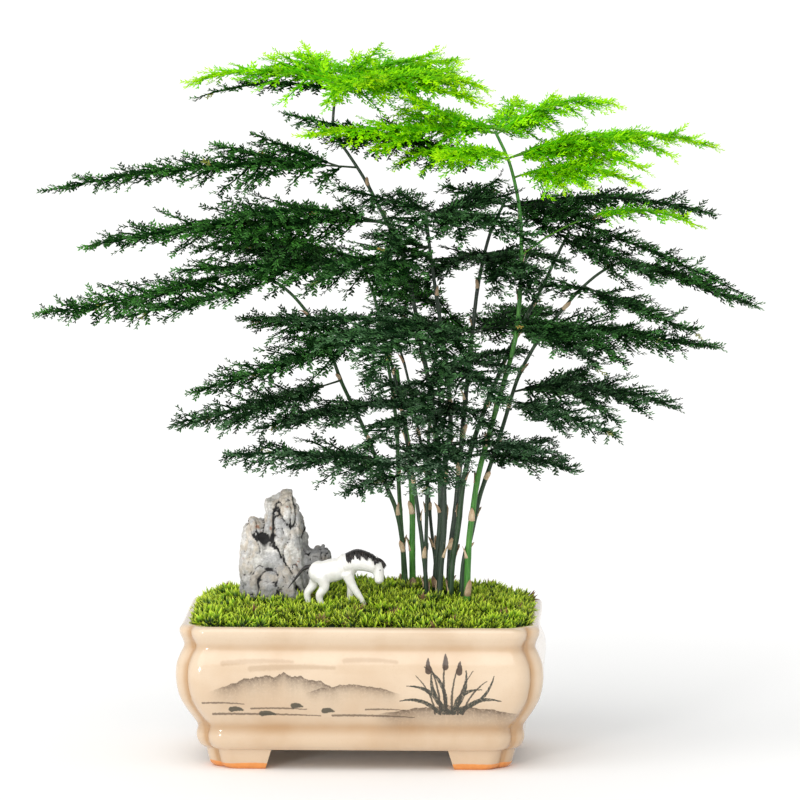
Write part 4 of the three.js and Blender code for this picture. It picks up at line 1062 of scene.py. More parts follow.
# The stone

STONE_GRAIN = 1.05  # between the points of its surface
# Depths of its flutes, creases, pits and lumps
FLUTE, CREASE, PIT, LUMP = 2.4, 1.5, 0.7, 0.9


def ridge(place, size, seed):
    """Sharp creases, 1 along a crease and falling off to both sides."""
    return 1 - min(1.0, abs(noise.noise(Vector(place) / size + Vector((seed, 0, 0)))) * 3.2)


def make_stone():
    """The stone's own lumps, worn into upright flutes, creases and chips."""
    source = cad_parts["stone"]
    stone = add_object("scholars_stone", source.data.copy())
    stone.data.materials.clear()
    solid = bmesh.new()
    solid.from_mesh(stone.data)
    bmesh.ops.remove_doubles(solid, verts=solid.verts, dist=1e-6)
    solid.to_mesh(stone.data)
    solid.free()
    modify(stone, "REMESH", mode="VOXEL", voxel_size=STONE_GRAIN * MM)
    modify(stone, "SMOOTH", factor=0.5, iterations=4)
    places = locations(stone)
    normals = np.array([v.normal for v in stone.data.vertices])
    # How deep each place lies in a crack, for the painted shade there
    creases = []
    for number, (x, y, z) in enumerate(places):
        upright = (x + 0.22 * (z - 80), y, z * 0.42)
        flute = ridge(upright, 11, 4.0)
        crease = ridge((x, y, z * 0.7), 6.5, 9.0)
        pit = ridge((x, y, z), 2.6, 31.0)
        lump = noise.noise(Vector((x, y, z)) / 8)
        fade = ramp(z, SOIL_TOP + 1, SOIL_TOP + 5)  # none where the soil holds it
        depth = FLUTE * flute ** 3 + CREASE * crease ** 3 + PIT * pit ** 2 - LUMP * lump
        places[number] -= normals[number] * depth * fade
        creases.append(min(1.0, 0.85 * flute ** 4 + 0.75 * crease ** 4 + 0.35 * pit ** 4))
    set_locations(stone, places)
    set_values(stone, "crevice", creases)
    stone.data.materials.append(weathered_limestone())
    shade_smooth(stone)
    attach(stone, "root")
    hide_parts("stone")


# The horse, in millimetres from its own place on the moss

HORSE = np.array([-11.5, -25, 90.3])
HORSE_GRAIN = 0.54  # between the points of its surface
BALL_RINGS, BALL_SIDES, LIMB_RINGS, LOCK_RINGS, TAIL_RINGS = 20, 32, 22, 9, 14
MANE_LOCKS, FORELOCKS, TAIL_LOCKS = 26, 5, 18
BARRELS = [  # centre, half sizes, tilt
    ((-5.5, 0, 22), (12.5, 5.8, 6.9), -0.22),
    ((-13.2, 0, 21), (6.4, 5.6, 6.6), 0.2),
    ((2.5, 0, 24.3), (6, 5.2, 7.6), -0.3),
]
LIMBS = [  # points, radii at the two ends
    ([(1.5, 0, 25.5), (8, 0, 27.2), (14, -0.6, 26.6), (19.5, -1, 24.8)], 6.6, 4.6),
    ([(19.5, -0.8, 25.4), (21.3, -1.4, 21.4), (21.9, -2, 15.6)], 4.4, 2.6),
    ([(-12, -3, 19.5), (-10, -3.2, 12.5), (-13, -3.2, 7.5), (-10.8, -3.2, 0.2)], 4.2, 1.5),
    ([(-14.5, 3, 19.5), (-17, 3.2, 12.8), (-20.2, 3.2, 8), (-19, 3.2, 0.6)], 4, 1.5),
    ([(3, -3, 20.5), (6.5, -3.2, 13), (10.2, -3.2, 7.5), (13.6, -3.2, 2)], 3.6, 1.4),
    ([(4, 3, 20.5), (5, 3.2, 12.5), (4.6, 3.2, 7), (5, 3.2, 1)], 3.4, 1.4),
]
EARS = [((20, 0.8, 28), (20.5, 1.6, 32.2)), ((20, -2.6, 28), (20.5, -3.4, 32.2))]
HOOVES = [(-10.8, -3.2, 0.2), (-19, 3.2, 0.6), (13.6, -3.2, 2), (5, 3.2, 1)]
EYES = [(22.6, -4.8, 22.8), (22.6, 2.2, 23)]
NOSTRILS = [(23.8, -3.6, 15.2), (23.8, -0.6, 15.4)]
CREST = [(2.5, 0, 31.6), (8.5, 0, 33.9), (14.5, -0.7, 32.6), (20.6, -1.2, 29.2)]
TAIL = [(-17.5, 0, 24.5), (-22, 0.4, 23), (-26.5, 0.6, 17.5), (-30.5, 0.8, 12)]


def ball(centre, size, tilt):
    """A finely divided ellipsoid, tilted in the XZ plane."""
    rings = []
    for k in range(1, BALL_RINGS):
        polar = math.pi * k / BALL_RINGS
        ring = []
        for i in range(BALL_SIDES):
            angle = 2 * math.pi * i / BALL_SIDES
            x = size[0] * math.sin(polar) * math.cos(angle)
            y = size[1] * math.sin(polar) * math.sin(angle)
            z = -size[2] * math.cos(polar)
            turned = (x * math.cos(tilt) + z * math.sin(tilt), y, z * math.cos(tilt) - x * math.sin(tilt))
            ring.append(np.array(turned) + centre)
        rings.append(ring)
    return skin(rings)


def limb(points, start, end, sides=16):
    path, _ = along(points, LIMB_RINGS)
    radii = [start + (end - start) * ramp(i, 0, LIMB_RINGS - 1) ** 0.75 for i in range(LIMB_RINGS)]
    return tube(path, radii, sides)


def moved(shape):
    points, faces = shape
    return [np.asarray(p) + HORSE for p in points], faces


def make_horse():
    parts = [ball(np.array(centre), size, tilt) for centre, size, tilt in BARRELS]
    parts += [limb(*row) for row in LIMBS]
    for root, tip in EARS:
        parts.append(limb([root, (np.array(root) + tip) / 2, tip], 1.0, 0.3, 10))
    horse = join("porcelain_horse", [new_piece("part", *moved(part)) for part in parts])
    modify(horse, "REMESH", mode="VOXEL", voxel_size=HORSE_GRAIN * MM)
    modify(horse, "SMOOTH", factor=0.5, iterations=7)
    marks = [(p, 1.5) for p in HOOVES] + [(p, 0.55) for p in EYES] + [(p, 0.4) for p in NOSTRILS]
    values = []
    for place in locations(horse) - HORSE:
        off = [(reach * 1.25 - np.linalg.norm(place - mark), reach) for mark, reach in marks]
        close = max(ramp(inside, 0, reach * 0.25) for inside, reach in off)
        values.append(0.85 * close if place[2] > 4 else 0.12 * close)
    set_values(horse, "painted", values)
    horse.data.materials.append(white_porcelain())
    shade_smooth(horse)
    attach(horse, "root")
    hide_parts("horse")
    make_hair()


def lock(root, tip, sag, radius):
    """One lock of hair, swelling from its root and pointed at its tip."""
    root, tip = np.array(root, float), np.array(tip, float)
    shares = np.linspace(0, 1, LOCK_RINGS)
    path = [root + (tip - root) * t + np.array([0, 0, sag * 4 * t * (1 - t)]) for t in shares]
    radii = [radius * (0.45 + 1.1 * t) * (1 - t) ** 0.6 + 0.08 for t in shares]
    return tube(path, radii, 8)


def mane_lock(crest, round_neck, side, wrap, drift):
    """One lock of the mane, laid from the crest round the side of the neck."""
    path, shares = [], np.linspace(0, 1, LOCK_RINGS)
    for t in shares:
        angle = side * wrap * t
        across, down = round_neck * math.sin(angle), round_neck * (math.cos(angle) - 1)
        path.append(crest + np.array([drift * t, across, down]))
    radii = [0.95 * (0.6 + 0.6 * t) * (1 - t) ** 0.4 + 0.1 for t in shares]
    return tube(path, radii, 8)


def make_hair():
    """The black mane over both sides of the crest, the forelock and the tail."""
    draw = random.Random(11)
    locks = []
    for i in range(MANE_LOCKS):
        share = i / (MANE_LOCKS - 1)
        crest = curve_point(CREST, share)
        round_neck = 6.4 - 1.6 * share
        for side in (-1, 1):
            wrap = math.radians(60 + 14 * draw.random() + 12 * math.sin(0.9 * i))
            locks.append(mane_lock(crest, round_neck, side, wrap, 2.2 * draw.random() - 0.4))
    for i in range(FORELOCKS):
        root = (20.4 + 0.2 * i, -1 + 0.4 * (i - 2), 29.2)
        locks.append(lock(root, (24.8 + 0.3 * i, -1.2 + 0.5 * (i - 2), 23 + 0.4 * i), 0.8, 0.6))
    for i in range(TAIL_LOCKS):
        turn = 2.4 * i
        spread = np.array([1.1 * math.cos(turn), 1.5 * math.sin(turn), 1.2 * math.cos(turn)])
        end = 0.72 + 0.28 * draw.random()
        path, _ = along([np.array(p) + spread * (0.2 + 0.5 * k) for k, p in enumerate(TAIL)], TAIL_RINGS)
        path = path[: max(6, int(TAIL_RINGS * end))]
        radii = [0.85 * (1 - 0.85 * (k / (len(path) - 1)) ** 2) for k in range(len(path))]
        locks.append(tube(path, radii, 8))
    hair = join("horse_hair", [new_piece("lock", *moved(part)) for part in locks])
    hair.data.materials.append(black_paint())
    shade_smooth(hair)
    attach(hair, "root")
    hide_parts("horse")


# The canes: radii at foot and tip, how fresh and green each is, and the points that it passes

CANES = [
    ((1.6, 0.8), 0.35, [(26, 14, 62), (23, 14, 117), (19, 13, 142), (13.5, 12, 156), (0, 10, 191),
        (-13, 6, 219), (-19, 2, 236), (-29.5, -2, 256), (-42, -6, 272), (-53, -8, 280), (-71, -12, 286)]),
    ((1.6, 0.8), 0.6, [(23.5, 24, 62), (22.5, 24, 112), (20, 25, 152), (18, 28, 195), (13, 32, 228),
        (6.5, 36, 261), (-3, 40, 288)]),
    ((2.2, 1.3), 1.0, [(29, 18, 62), (28, 18, 116), (28, 18, 144), (26, 17, 178), (21.5, 15, 205),
        (19, 15, 225)]),
    ((1.5, 0.8), 0.15, [(37.5, -2, 62), (36.5, -2, 105), (34.5, -2, 125), (30.5, -2, 155), (26.5, -4, 180),
        (21.5, -6, 210), (11, -8, 254)]),
    ((1.3, 0.8), 0.2, [(35, 16, 62), (36, 16, 116), (36.5, 18, 144), (37, 24, 177), (40, 31, 220),
        (44, 38, 261)]),
    ((1.2, 0.7), 0.1, [(42, 23, 62), (41.5, 23, 108), (39, 23, 131), (36, 26, 162), (29.5, 31, 196),
        (22, 36, 229), (11.5, 44, 256)]),
    ((2.1, 0.9), 0.1, [(43.5, -10, 62), (45.5, -10, 112), (47.5, -10, 137), (47.5, -9, 169), (51, -8, 192),
        (50, -8, 217), (47, -8, 244), (43, -8, 270), (39, -6, 298), (36.5, -4, 320)]),
    ((1.9, 0.8), 0.1, [(41.5, 9, 62), (42, 9, 106), (44.5, 9, 135), (44.5, 10, 161), (39.5, 12, 208),
        (33, 16, 242), (28, 19, 268), (21.5, 20, 294), (12, 22, 313), (0, 24, 336), (-10.5, 26, 352),
        (-18, 27, 363), (-18, 28, 381), (-17, 28, 394)]),
    ((2.1, 0.9), 0.05, [(49.5, 12, 62), (50.5, 12, 117), (53.5, 12, 142), (55.5, 15, 165), (58.5, 20, 202),
        (61.5, 26, 232), (63.5, 30, 252), (66.5, 33, 276), (73.5, 36, 305), (81.5, 38, 322)]),
    ((2.0, 0.9), 0.3, [(50.5, -7, 62), (52, -7, 112), (55.5, -7, 135), (59.5, -5, 167), (67.5, -1, 195),
        (79.5, 7, 225), (87, 11, 242), (96.5, 15, 260), (104, 18, 274), (112, 21, 291), (119.5, 23, 306)]),
    ((2.1, 0.9), 0.95, [(60.5, -14, 62), (62, -13, 127), (64, -12, 144), (67.5, -11, 167), (79, -8, 210),
        (88.5, -4, 245), (91, 0, 268), (92, 2, 297), (91, 3, 319), (88, 4, 336), (84, 4, 350),
        (76.5, 4, 366)]),
    ((1.7, 0.8), 0.25, [(56.5, -5, 62), (59, -5, 116), (62.5, -4, 128), (68, -3, 153), (74, -2, 171),
        (82, 0, 196), (90, 2, 222), (97, 4, 236), (104.5, 6, 248), (114.5, 8, 260), (126, 11, 273),
        (138, 14, 283), (153.5, 17, 291)]),
]
SCALE_SPACING = 22
SCALE_START = 95
LAST_JOINT = 0.86  # of the cane's length
JOINT_SWELL = 0.16
SHEATH_THICKNESS = 0.22
CANE_STEP = 3.2
CANE_SIDES = 10


def sheath_scale(centre, tangent, side, radius, draw):
    """A papery scale that hugs the cane at its base and stands off it towards its pointed tip."""
    out = np.array([math.cos(side), math.sin(side), 0.0])
    out -= tangent * out.dot(tangent)
    out /= np.linalg.norm(out)
    across = np.cross(tangent, out)
    height = (2.8 * radius + 2.6) * (0.8 + 0.5 * draw.random())
    flare = 1.2 + 1.1 * draw.random()
    rows, columns = 5, 5
    points = []
    for thick in (0.0, SHEATH_THICKNESS):
        for r in range(rows):
            t = r / (rows - 1)
            spread = math.radians(82) * (1 - t) ** 0.8 + 0.04
            stand = radius + 0.08 + thick + flare * t * t
            for c in range(columns):
                angle = spread * (2 * c / (columns - 1) - 1)
                rim = out * math.cos(angle) + across * math.sin(angle)
                points.append(centre + rim * stand + tangent * (height * t - 0.6 * math.cos(angle)))
    shift = rows * columns
    faces = []
    for r in range(rows - 1):
        for c in range(columns - 1):
            a = r * columns + c
            faces.append((a + columns, a + columns + 1, a + 1, a))
            faces.append(tuple(i + shift for i in (a, a + 1, a + columns + 1, a + columns)))
    edge = list(range(columns - 1))
    edge += [r * columns + columns - 1 for r in range(rows - 1)]
    edge += [(rows - 1) * columns + c for c in range(columns - 1, 0, -1)]
    edge += [r * columns for r in range(rows - 1, 0, -1)]
    for a, b in zip(edge, edge[1:] + edge[:1]):
        faces.append((a, b, b + shift, a + shift))
    tips = [r / (rows - 1) for _ in range(2) for r in range(rows) for _ in range(columns)]
    return points, faces, tips


def cane_joints(number, length):
    """How far along a cane its joints lie."""
    joints = []
    at = SCALE_START - CANE_FOOT + 5 * scatter(number)
    while at < LAST_JOINT * length:
        joints.append(at)
        at += SCALE_SPACING
    return joints


def cane_scales(number, shares, steps, path, material):
    """The papery scales at a cane's joints, to one side and the other in turn."""
    low, high = CANES[number][0]
    draw = random.Random(100 + number)
    side = number * 2.4
    flaps = []
    for order, share in enumerate(shares):
        ends = [[np.interp(s, steps, path[:, k]) for k in range(3)] for s in (share, share + 0.01)]
        centre, ahead = np.array(ends[0]), np.array(ends[1]) - np.array(ends[0])
        ahead /= np.linalg.norm(ahead)
        points, faces, tips = sheath_scale(centre, ahead, side, low + (high - low) * share, draw)
        flap = new_piece("flap", points, faces)
        set_values(flap, "tip", tips)
        set_values(flap, "shade", 0.7 * draw.random() ** 2)
        flap.data.materials.append(material)
        flaps.append(flap)
        side += 1.25 if order % 2 else 1.25 + math.pi
    return flaps


def make_cane(number, skin_material, sheath_material):
    (low, high), fresh, points = CANES[number]
    _, length = along(points, 2)
    count = int(length / CANE_STEP) + 1
    path, _ = along(points, count)
    steps = [i / (count - 1) for i in range(count)]
    joints = cane_joints(number, length)
    swell = [max((math.exp(-(((s * length - j) / 2.2) ** 2)) for j in joints), default=0) for s in steps]
    thickness = [low + (high - low) * s + JOINT_SWELL * w for s, w in zip(steps, swell)]
    rod = new_piece("rod", *tube(path, thickness, CANE_SIDES))
    rod.data.materials.append(skin_material)
    scales = cane_scales(number, [at / length for at in joints], steps, path, sheath_material)
    cane = join(f"green_cane_{number + 1:02d}", [rod] + scales)
    set_values(cane, "fresh", fresh)
    face_outwards(cane.data)
    shade_smooth(cane)
    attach(cane, "root")
    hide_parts(f"cane_{number + 1:02d}")


# The fronds, by age. The first row of each gives its cane and the height it leaves at, azimuth (0 right,
# 90 away), reach, drop, arch, greatest half width, how far it tips in degrees, and the bare share of its
# stalk. The rows after it are its side plumes: how far along its rib each leaves, then azimuth, reach,
# drop, arch, greatest half width and tip

FRONDS = {
    "dark": [
        [(8, 388, 177, 84, -6, 5, 9, 6, 0.06)],
        [(8, 343, 186, 185, -13.5, 4, 27, 20, 0.1), (0.06, 166, 54, 19, 4, 20, 14),
            (0.2, 174, 50, 11, 4, 18, 16), (0.05, 225, 20, -13, -2, 8, 12)],
        [(8, 311, 189, 179, -12.5, 3.5, 44, 20, 0.08), (0.02, 194, 118, -6, 9, 20, 18),
            (0.2, 205, 84, -16, 0, 18, 16), (0.05, 155, 24, 14, 2, 12, 12)],
        [(8, 288, 197, 138, -1.5, 1, 38, 20, 0.04), (0.1, -100, 32, -20, 0, 14, 0),
            (0.05, -75, 42, -21, 0, 16, 0), (0.35, 205, 53, -15, 0, 15, 14), (0.25, 178, 76, 9, 3, 18, 14)],
        [(1, 285.5, 184, 121, -24.5, -8.5, 27, 18, 0.12)],
        [(1, 279.5, 200, 94, -19, -5, 26, 18, 0.1)],
        [(4, 250, 188, 113, -35, -9, 32, 22, 0.08), (0.15, 205, 58, -18, 0, 14, 14),
            (0.05, 170, 80, 8, 2, 24, 14)],
        [(1, 220, 186, 101, -25, -8, 28, 22, 0.1), (0.25, 205, 51, -23, -2, 10, 14),
            (0.1, 220, 36, -18.5, -2, 12, 10)],
        [(3, 208, 199, 90, -16, -1, 26, 12, 0.1), (0.3, 210, 48, -14.5, 0, 8, 10),
            (0.12, 230, 54, -13.5, 0, 10, 8)],
        [(4, 171, 184, 111, 6, 6, 34, 18, 0.12), (0.2, 202, 53, -6.5, 3, 12, 12),
            (0.06, 218, 41, -7, 2, 12, 10)],
        [(4, 165, 210, 48, -9, 1, 16, 10, 0.15)],
        [(9, 319, -4, 128, -4, 7, 28, -18, 0.04), (0.05, -18, 146, -50, -8, 13, -14),
            (0.02, -38, 70, -5.5, 2, 16, -8), (0.02, -26, 86, -46, -8, 14, -12),
            (0.02, 160, 40, 12, 3, 20, 16)],
        [(12, 290.5, 2, 79, -29, -7, 20, -16, 0.06), (0.05, -14, 64, -23, -3, 8, -12)],
        [(12, 275, -22, 75, -26, -6.5, 18, -14, 0.1), (0.1, -70, 35, -12.5, 0, 14, 0),
            (0.2, -42, 42, -12.5, -1, 8, -8), (0.1, 190, 34, 4, 2, 18, 10)],
        [(10, 305, -28, 64, -28, -6, 20, -12, 0.08), (0.05, -55, 39, -12.5, 0, 12, -6)],
        [(11, 257, -9, 122, -14.5, -4, 27, -18, 0.1), (0.3, -35, 64, -6, 2, 12, -10),
            (0.1, -50, 82, -20, 0, 16, -6), (0.02, -70, 60, -14, 2, 20, 0)],
        [(10, 250, -56, 85, -18, 2, 26, -6, 0.2), (0.1, -20, 42, -18, 0, 12, -10)],
        [(12, 214, -4, 100, -11, 6, 30, -16, 0.08), (0.1, 20, 38, 13, 3, 17, -12),
            (0.35, -30, 54, -16, 0, 10, -10), (0.2, -40, 58, -19, 0, 10, -8),
            (0.02, 12, 44, 10, 3, 20, -10)],
        [(11, 211, -37, 88, -16, -2, 24, -8, 0.15), (0.1, -50, 55, -17, 0, 12, -6)],
        [(10, 177, -10, 64, -8.5, 1.9, 26, -8, 0.15), (0.15, -30, 62, -6, 1, 10, -8),
            (0.05, 175, 32, 4, 2, 18, 8), (0.05, 20, 50, 8, 3, 20, -8)],
        [(7, 256, -112, 108, -26, 2, 42, 0, 0.1), (0.05, -165, 52, -25, 0, 20, 12),
            (0.08, 165, 37, 11, 3, 18, 12), (0.1, -60, 46, -24, 0, 20, -4), (0.04, 174, 114, 1, 1, 22, 18),
            (0.02, -85, 72, -32, -3, 28, 0), (0.3, 178, 60, -12, 0, 20, 10)],
        [(7, 232, -62, 74, -20, 0, 30, 0, 0.1), (0.1, -20, 43, -3, 3, 18, -10),
            (0.05, 25, 51, 4, 4, 18, -10), (0.02, -104, 62, -28, -3, 26, 0)],
        [(7, 210, -128, 82, -24, 0, 32, 4, 0.1), (0.1, 185, 41, -5.5, 3, 18, 12),
            (0.1, -40, 48, -19, 0, 16, -8), (0.02, -92, 56, -24, -2, 26, 0),
            (0.05, 170, 50, 14, 3, 22, 12)],
        [(7, 186, -98, 82, -22, 0, 38, 0, 0.1), (0.1, -20, 75, -6, 3, 16, -10),
            (0.1, -140, 36, -20, 0, 16, 8), (0.2, -155, 50, -20, 0, 18, 8)],
        [(9, 244, 62, 89, 8, 8, 34, 0, 0.1), (0.1, 15, 51, 10, 4, 18, -10), (0.05, 170, 30, 6, 2, 22, 6),
            (0.05, -30, 44, 4, 3, 20, -8), (0.02, 140, 30, 22, 2, 22, 8)],
        [(5, 258, 118, 82, 10, 8, 32, 0, 0.08), (0.1, 165, 38, 7.5, 3, 16, 10)],
        [(2, 285.5, 152, 89, 10, 8, 34, 0, 0.06), (0.3, 175, 66, -2, 2, 20, 8)],
        [(7, 318, -40, 86, -14, 4, 32, -4, 0.06), (0.05, 175, 60, 16, 5, 18, 12),
            (0.1, 15, 51, 12.5, 3, 16, -12), (0.2, -75, 39, -17, 0, 14, 0), (0.02, 12, 46, 24, 3, 18, -10),
            (0.05, -125, 46, -24, 0, 24, 6), (0.3, -120, 30, -14, 0, 18, 0),
            (0.02, 120, 40, 12, 3, 22, 10)],
        [(11, 350, 188, 132, 28, 6, 27, 16, 0.1), (0.3, 160, 39, 16.5, 3, 12, 8),
            (0.4, 195, 56, -0.5, 3, 14, 10)],
        [(7, 299, -150, 76, -18, 0, 28, 6, 0.1), (0.05, 170, 34, 9, 3, 14, 10),
            (0.02, -112, 62, -26, -2, 24, 4), (0.02, 150, 30, 16, 2, 20, 14)],
        [(9, 292, -82, 74, -20, 2, 25, 0, 0.1), (0.1, -20, 54, -7, 3, 22, -10),
            (0.1, -150, 36, -11.5, 1, 16, 8), (0.3, -50, 50, -12, 2, 20, -6),
            (0.02, -58, 62, -26, -2, 24, -4), (0.05, -140, 52, -20, 0, 20, 6)],
    ],
    "young": [
        [(8, 392, 182, 89, -1, 8, 25, 8, 0.04), (0.15, 160, 30, 11, 3, 14, 8),
            (0.03, 130, 34, 17, 4, 20, 8)],
        [(8, 388, -70, 82, 11, 8, 30, 0, 0.05), (0.2, -100, 20, -15, 0, 12, 0),
            (0.3, -35, 28, -11, 0, 12, -4), (0.1, -22, 96, -10, 4, 22, -16), (0.3, -8, 74, -1, 3, 18, -14),
            (0.05, 75, 40, 20, 4, 24, -4), (0.05, 105, 38, 20, 4, 24, 4)],
        [(8, 390, 30, 86, 13, 7, 28, -4, 0.06), (0.25, -15, 61, -1, 5, 16, -10),
            (0.12, -28, 95, -4.5, 8, 20, -8), (0.04, 62, 38, 17, 4, 22, -8)],
        [(11, 364, 8, 75, 15, 15, 22, -10, 0.06), (0.15, 30, 29, 19, 2, 12, -6),
            (0.05, 200, 60, 22, 3, 18, 14), (0.02, 40, 48, 20, 3, 18, -6)],
        [(11, 350, -6, 126, 6, 14, 28, -8, 0.1), (0.4, -22, 53, -12.5, 0, 10, -8),
            (0.22, -28, 64, -17, 0, 12, -8), (0.1, 14, 70, 6, 4, 20, -12), (0.02, -14, 60, 0, 4, 18, -10),
            (0.02, 25, 50, 4, 4, 22, -12)],
        [(11, 339, -36, 93, 0, 8, 24, -4, 0.1), (0.15, -60, 42, -10, 0, 9, 0),
            (0.3, -55, 44, -11.5, 0, 9, 0), (0.05, 8, 62, 12, 3, 20, -12)],
        [(11, 365, 196, 119, 0, 4, 26, 8, 0.1), (0.3, 215, 44, -15, 0, 14, 8),
            (0.1, 160, 51, 13, 3, 25, 8), (0.02, 150, 62, 24, 3, 24, 22)],
        [(11, 352, -118, 80, 4, 5, 28, 0, 0.1), (0.1, 190, 64, -7, 4, 22, 10)],
        [(11, 294, 4, 108, 14, 22, 10, -6, 0.4)],
        [(11, 365, 78, 64, 16, 5, 26, -6, 0.06)],
        [(8, 393.5, -40, 38, 25, 3, 20, 0, 0.05), (0.3, 8, 56, 13, 3, 12, -6)],
        [(8, 393.5, 128, 34, 21, 3, 18, 0, 0.05), (0.3, 172, 31, 12.5, 2, 10, 6)],
    ],
}
FORK_BARE = 0.12
# The space between side twigs, their angle in degrees, how far they tilt, sag and sway, the size of their
# first and last sprigs, and the space between sprigs
HABITS = {
    "dark": {
        "pitch": 5.6, "open": 58, "tilt": 0.34, "sag": 1.0, "sway": 0.7, "sprig": 1.0, "least": 0.76,
        "spacing": 2.85,
    },
    "young": {
        "pitch": 6.0, "open": 52, "tilt": 0.4, "sag": 1.5, "sway": 1.6, "sprig": 1.05, "least": 0.72,
        "spacing": 2.9,
    },
}
# Pairs of needles, the sprig's length, and the needles' length, width, angle and rise
SPRIGS = {"dark": (4, 8.6, 4.4, 1.6, 36, 0.25), "young": (4, 9.2, 4.4, 1.5, 30, 0.3)}
TWIG_TONES = {
    "dark": ("old_twig", (0.012, 0.03, 0.012), (0.04, 0.075, 0.03)),
    "young": ("young_twig", (0.06, 0.24, 0.008), (0.16, 0.42, 0.02)),
}
TIP_SPRIG = 4.5  # how far the last sprig reaches past its rib
# Thickness at the two ends, in metres
STALK, RIB, TWIG = (0.75 * MM, 0.6 * MM), (1.2 * MM, 0.4 * MM), (0.9 * MM, 0.3 * MM)
SHORTEST_TWIG = 3
TWIG_BEND = 26  # degrees that a side twig bends forwards


def cane_at(number, height):
    """The point of a cane's middle line at a height."""
    points = CANES[number][2]
    low, high = 0.0, 1.0
    for _ in range(30):
        middle = (low + high) / 2
        if curve_point(points, middle)[2] < height:
            low = middle
        else:
            high = middle
    return curve_point(points, low)


def fullness(t):
    """How a frond fills out past its bare stalk and tapers to its tip."""
    return min(1.0, 0.4 + t / 0.2) * (1 - t ** 1.7)


class Threads:
    """Chains of points that become twigs: their thickness, their sprigs' size and splay, and their plane."""

    def __init__(self):
        self.points, self.edges, self.planes = [], [], []
        self.values = {"thickness": [], "sprig_size": [], "splay": [], "outer": []}

    def add(self, path, plane, **ends):
        """Adds one chain; each value runs from its first end to its last."""
        first = len(self.points)
        for k, point in enumerate(path):
            share = k / (len(path) - 1)
            self.points.append(point)
            self.planes.append(plane)
            for name, (start, end) in ends.items():
                self.values[name].append(start + (end - start) * share)
            if k:
                self.edges.append((first + k - 1, first + k))

    def source(self, name):
        piece = new_piece(name, self.points, [], edges=self.edges)
        for value, numbers in self.values.items():
            set_values(piece, value, numbers)
        plane = piece.data.attributes.new("plane", "FLOAT_VECTOR", "POINT")
        plane.data.foreach_set("vector", np.array(self.planes, np.float32).ravel())
        return piece


def side_twig(start, ahead, left, plane, side, length, angle, habit, draw):
    """The points of a side twig: it leaves the rib at an angle, bends forwards and hangs at its end."""
    count = max(4, int(length / 5) + 2)
    step = length / (count - 1)
    tilt = habit["tilt"] * (2 * draw.random() - 1)
    sway = habit["sway"] * (draw.random() - 0.5)
    point, path = np.array(start), []
    for k in range(count):
        run = step * k
        hang = (DROOP * run + DROOP_GROWTH * run * run) * habit["sag"]
        path.append(point + np.array([0, 0, sway * math.sin(3 * k / (count - 1)) - hang]))
        turn = angle - math.radians(TWIG_BEND) * k / (count - 1)
        out = ahead * math.cos(turn) + left * side * math.sin(turn)
        point = point + (out * math.cos(tilt) + plane * math.sin(tilt)) * step
    return path


def heading(azimuth):
    turn = math.radians(azimuth)
    return np.array([math.cos(turn), math.sin(turn), 0.0])


def rib_of(root, azimuth, reach, drop, arch):
    """A plume's rib as a function of the share along it."""
    ahead = heading(azimuth)
    return lambda s: root + ahead * reach * s + np.array([0, 0, 4 * arch * s * (1 - s) + drop * s * s])


def add_plume(threads, rib, azimuth, reach, wide, roll, bare, habit, draw):
    """A leafy rib with side twigs to its left and right, long and short in turn."""
    ahead, tip = heading(azimuth), math.radians(roll)
    left = np.array([-ahead[1] * math.cos(tip), ahead[0] * math.cos(tip), -math.sin(tip)])
    plane = np.cross(ahead, left)
    size, least = habit["sprig"], habit["least"]
    stalk = [rib(bare * k / 3) for k in range(4)]
    threads.add(stalk, plane, thickness=STALK, sprig_size=(0, 0), splay=(0, 0), outer=(0, 0))
    count = max(6, int(reach / 6))
    last = 1 - TIP_SPRIG / reach
    leafy = [rib(bare + (last - bare) * k / count) for k in range(count + 1)]
    threads.add(leafy, plane, thickness=RIB, sprig_size=(size, least), splay=(0.8, 0.45), outer=(0, 0.9))
    places = max(3, int(reach * (1 - bare) / habit["pitch"]))
    for k, side in ((k, side) for k in range(places) for side in (1, -1)):
        t = (k + 0.5 * (side > 0) + 0.2 + 0.3 * draw.random()) / (places + 0.4)
        length = wide * fullness(t) * (1.0 if k % 2 else 0.82) * (0.82 + 0.24 * draw.random())
        if length < SHORTEST_TWIG:
            continue
        angle = math.radians(habit["open"] - 24 * t + 10 * (draw.random() - 0.5))
        foot = rib(bare + (1 - bare) * t)
        path = side_twig(foot, ahead, left, plane, side, length, angle, habit, draw)
        sizes, outer = (size * (1 - 0.15 * t), least), (0.1 + 0.4 * t, 0.5 + 0.5 * t)
        threads.add(path, plane, thickness=TWIG, sprig_size=sizes, splay=(0.75, 0.5), outer=outer)


def frond_threads(rows, habit, index):
    """The twigs of one frond and of the side plumes that leave its rib."""
    (cane, height, azimuth, reach, drop, arch, wide, roll, bare), *forks = rows
    draw = random.Random(1000 + index)
    threads = Threads()
    rib = rib_of(cane_at(cane - 1, height), azimuth, reach, drop, arch)
    add_plume(threads, rib, azimuth, reach, wide, roll, bare, habit, draw)
    for share, turn, length, fall, bow, half, tip in forks:
        fork = rib_of(rib(share), turn, length, fall, bow)
        add_plume(threads, fork, turn, length, half, tip, FORK_BARE, habit, draw)
    return threads


def frond_tone(height, azimuth):
    """How glaucous and how grassy a frond looks: glaucous low and in front, partly as painted sheen where the
    light falls, grassy high and on the left.
    """
    right, away, _ = heading(azimuth)
    haze = 0.15 + 0.4 * max(0.0, -away) + 0.5 * ramp(262 - height, 0, 60) - 0.2 * max(0.0, away)
    grassy = 0.9 * ramp(-right, 0.1, 0.8) * ramp(height, 215, 275)
    return max(0.0, min(1.0, haze)), grassy


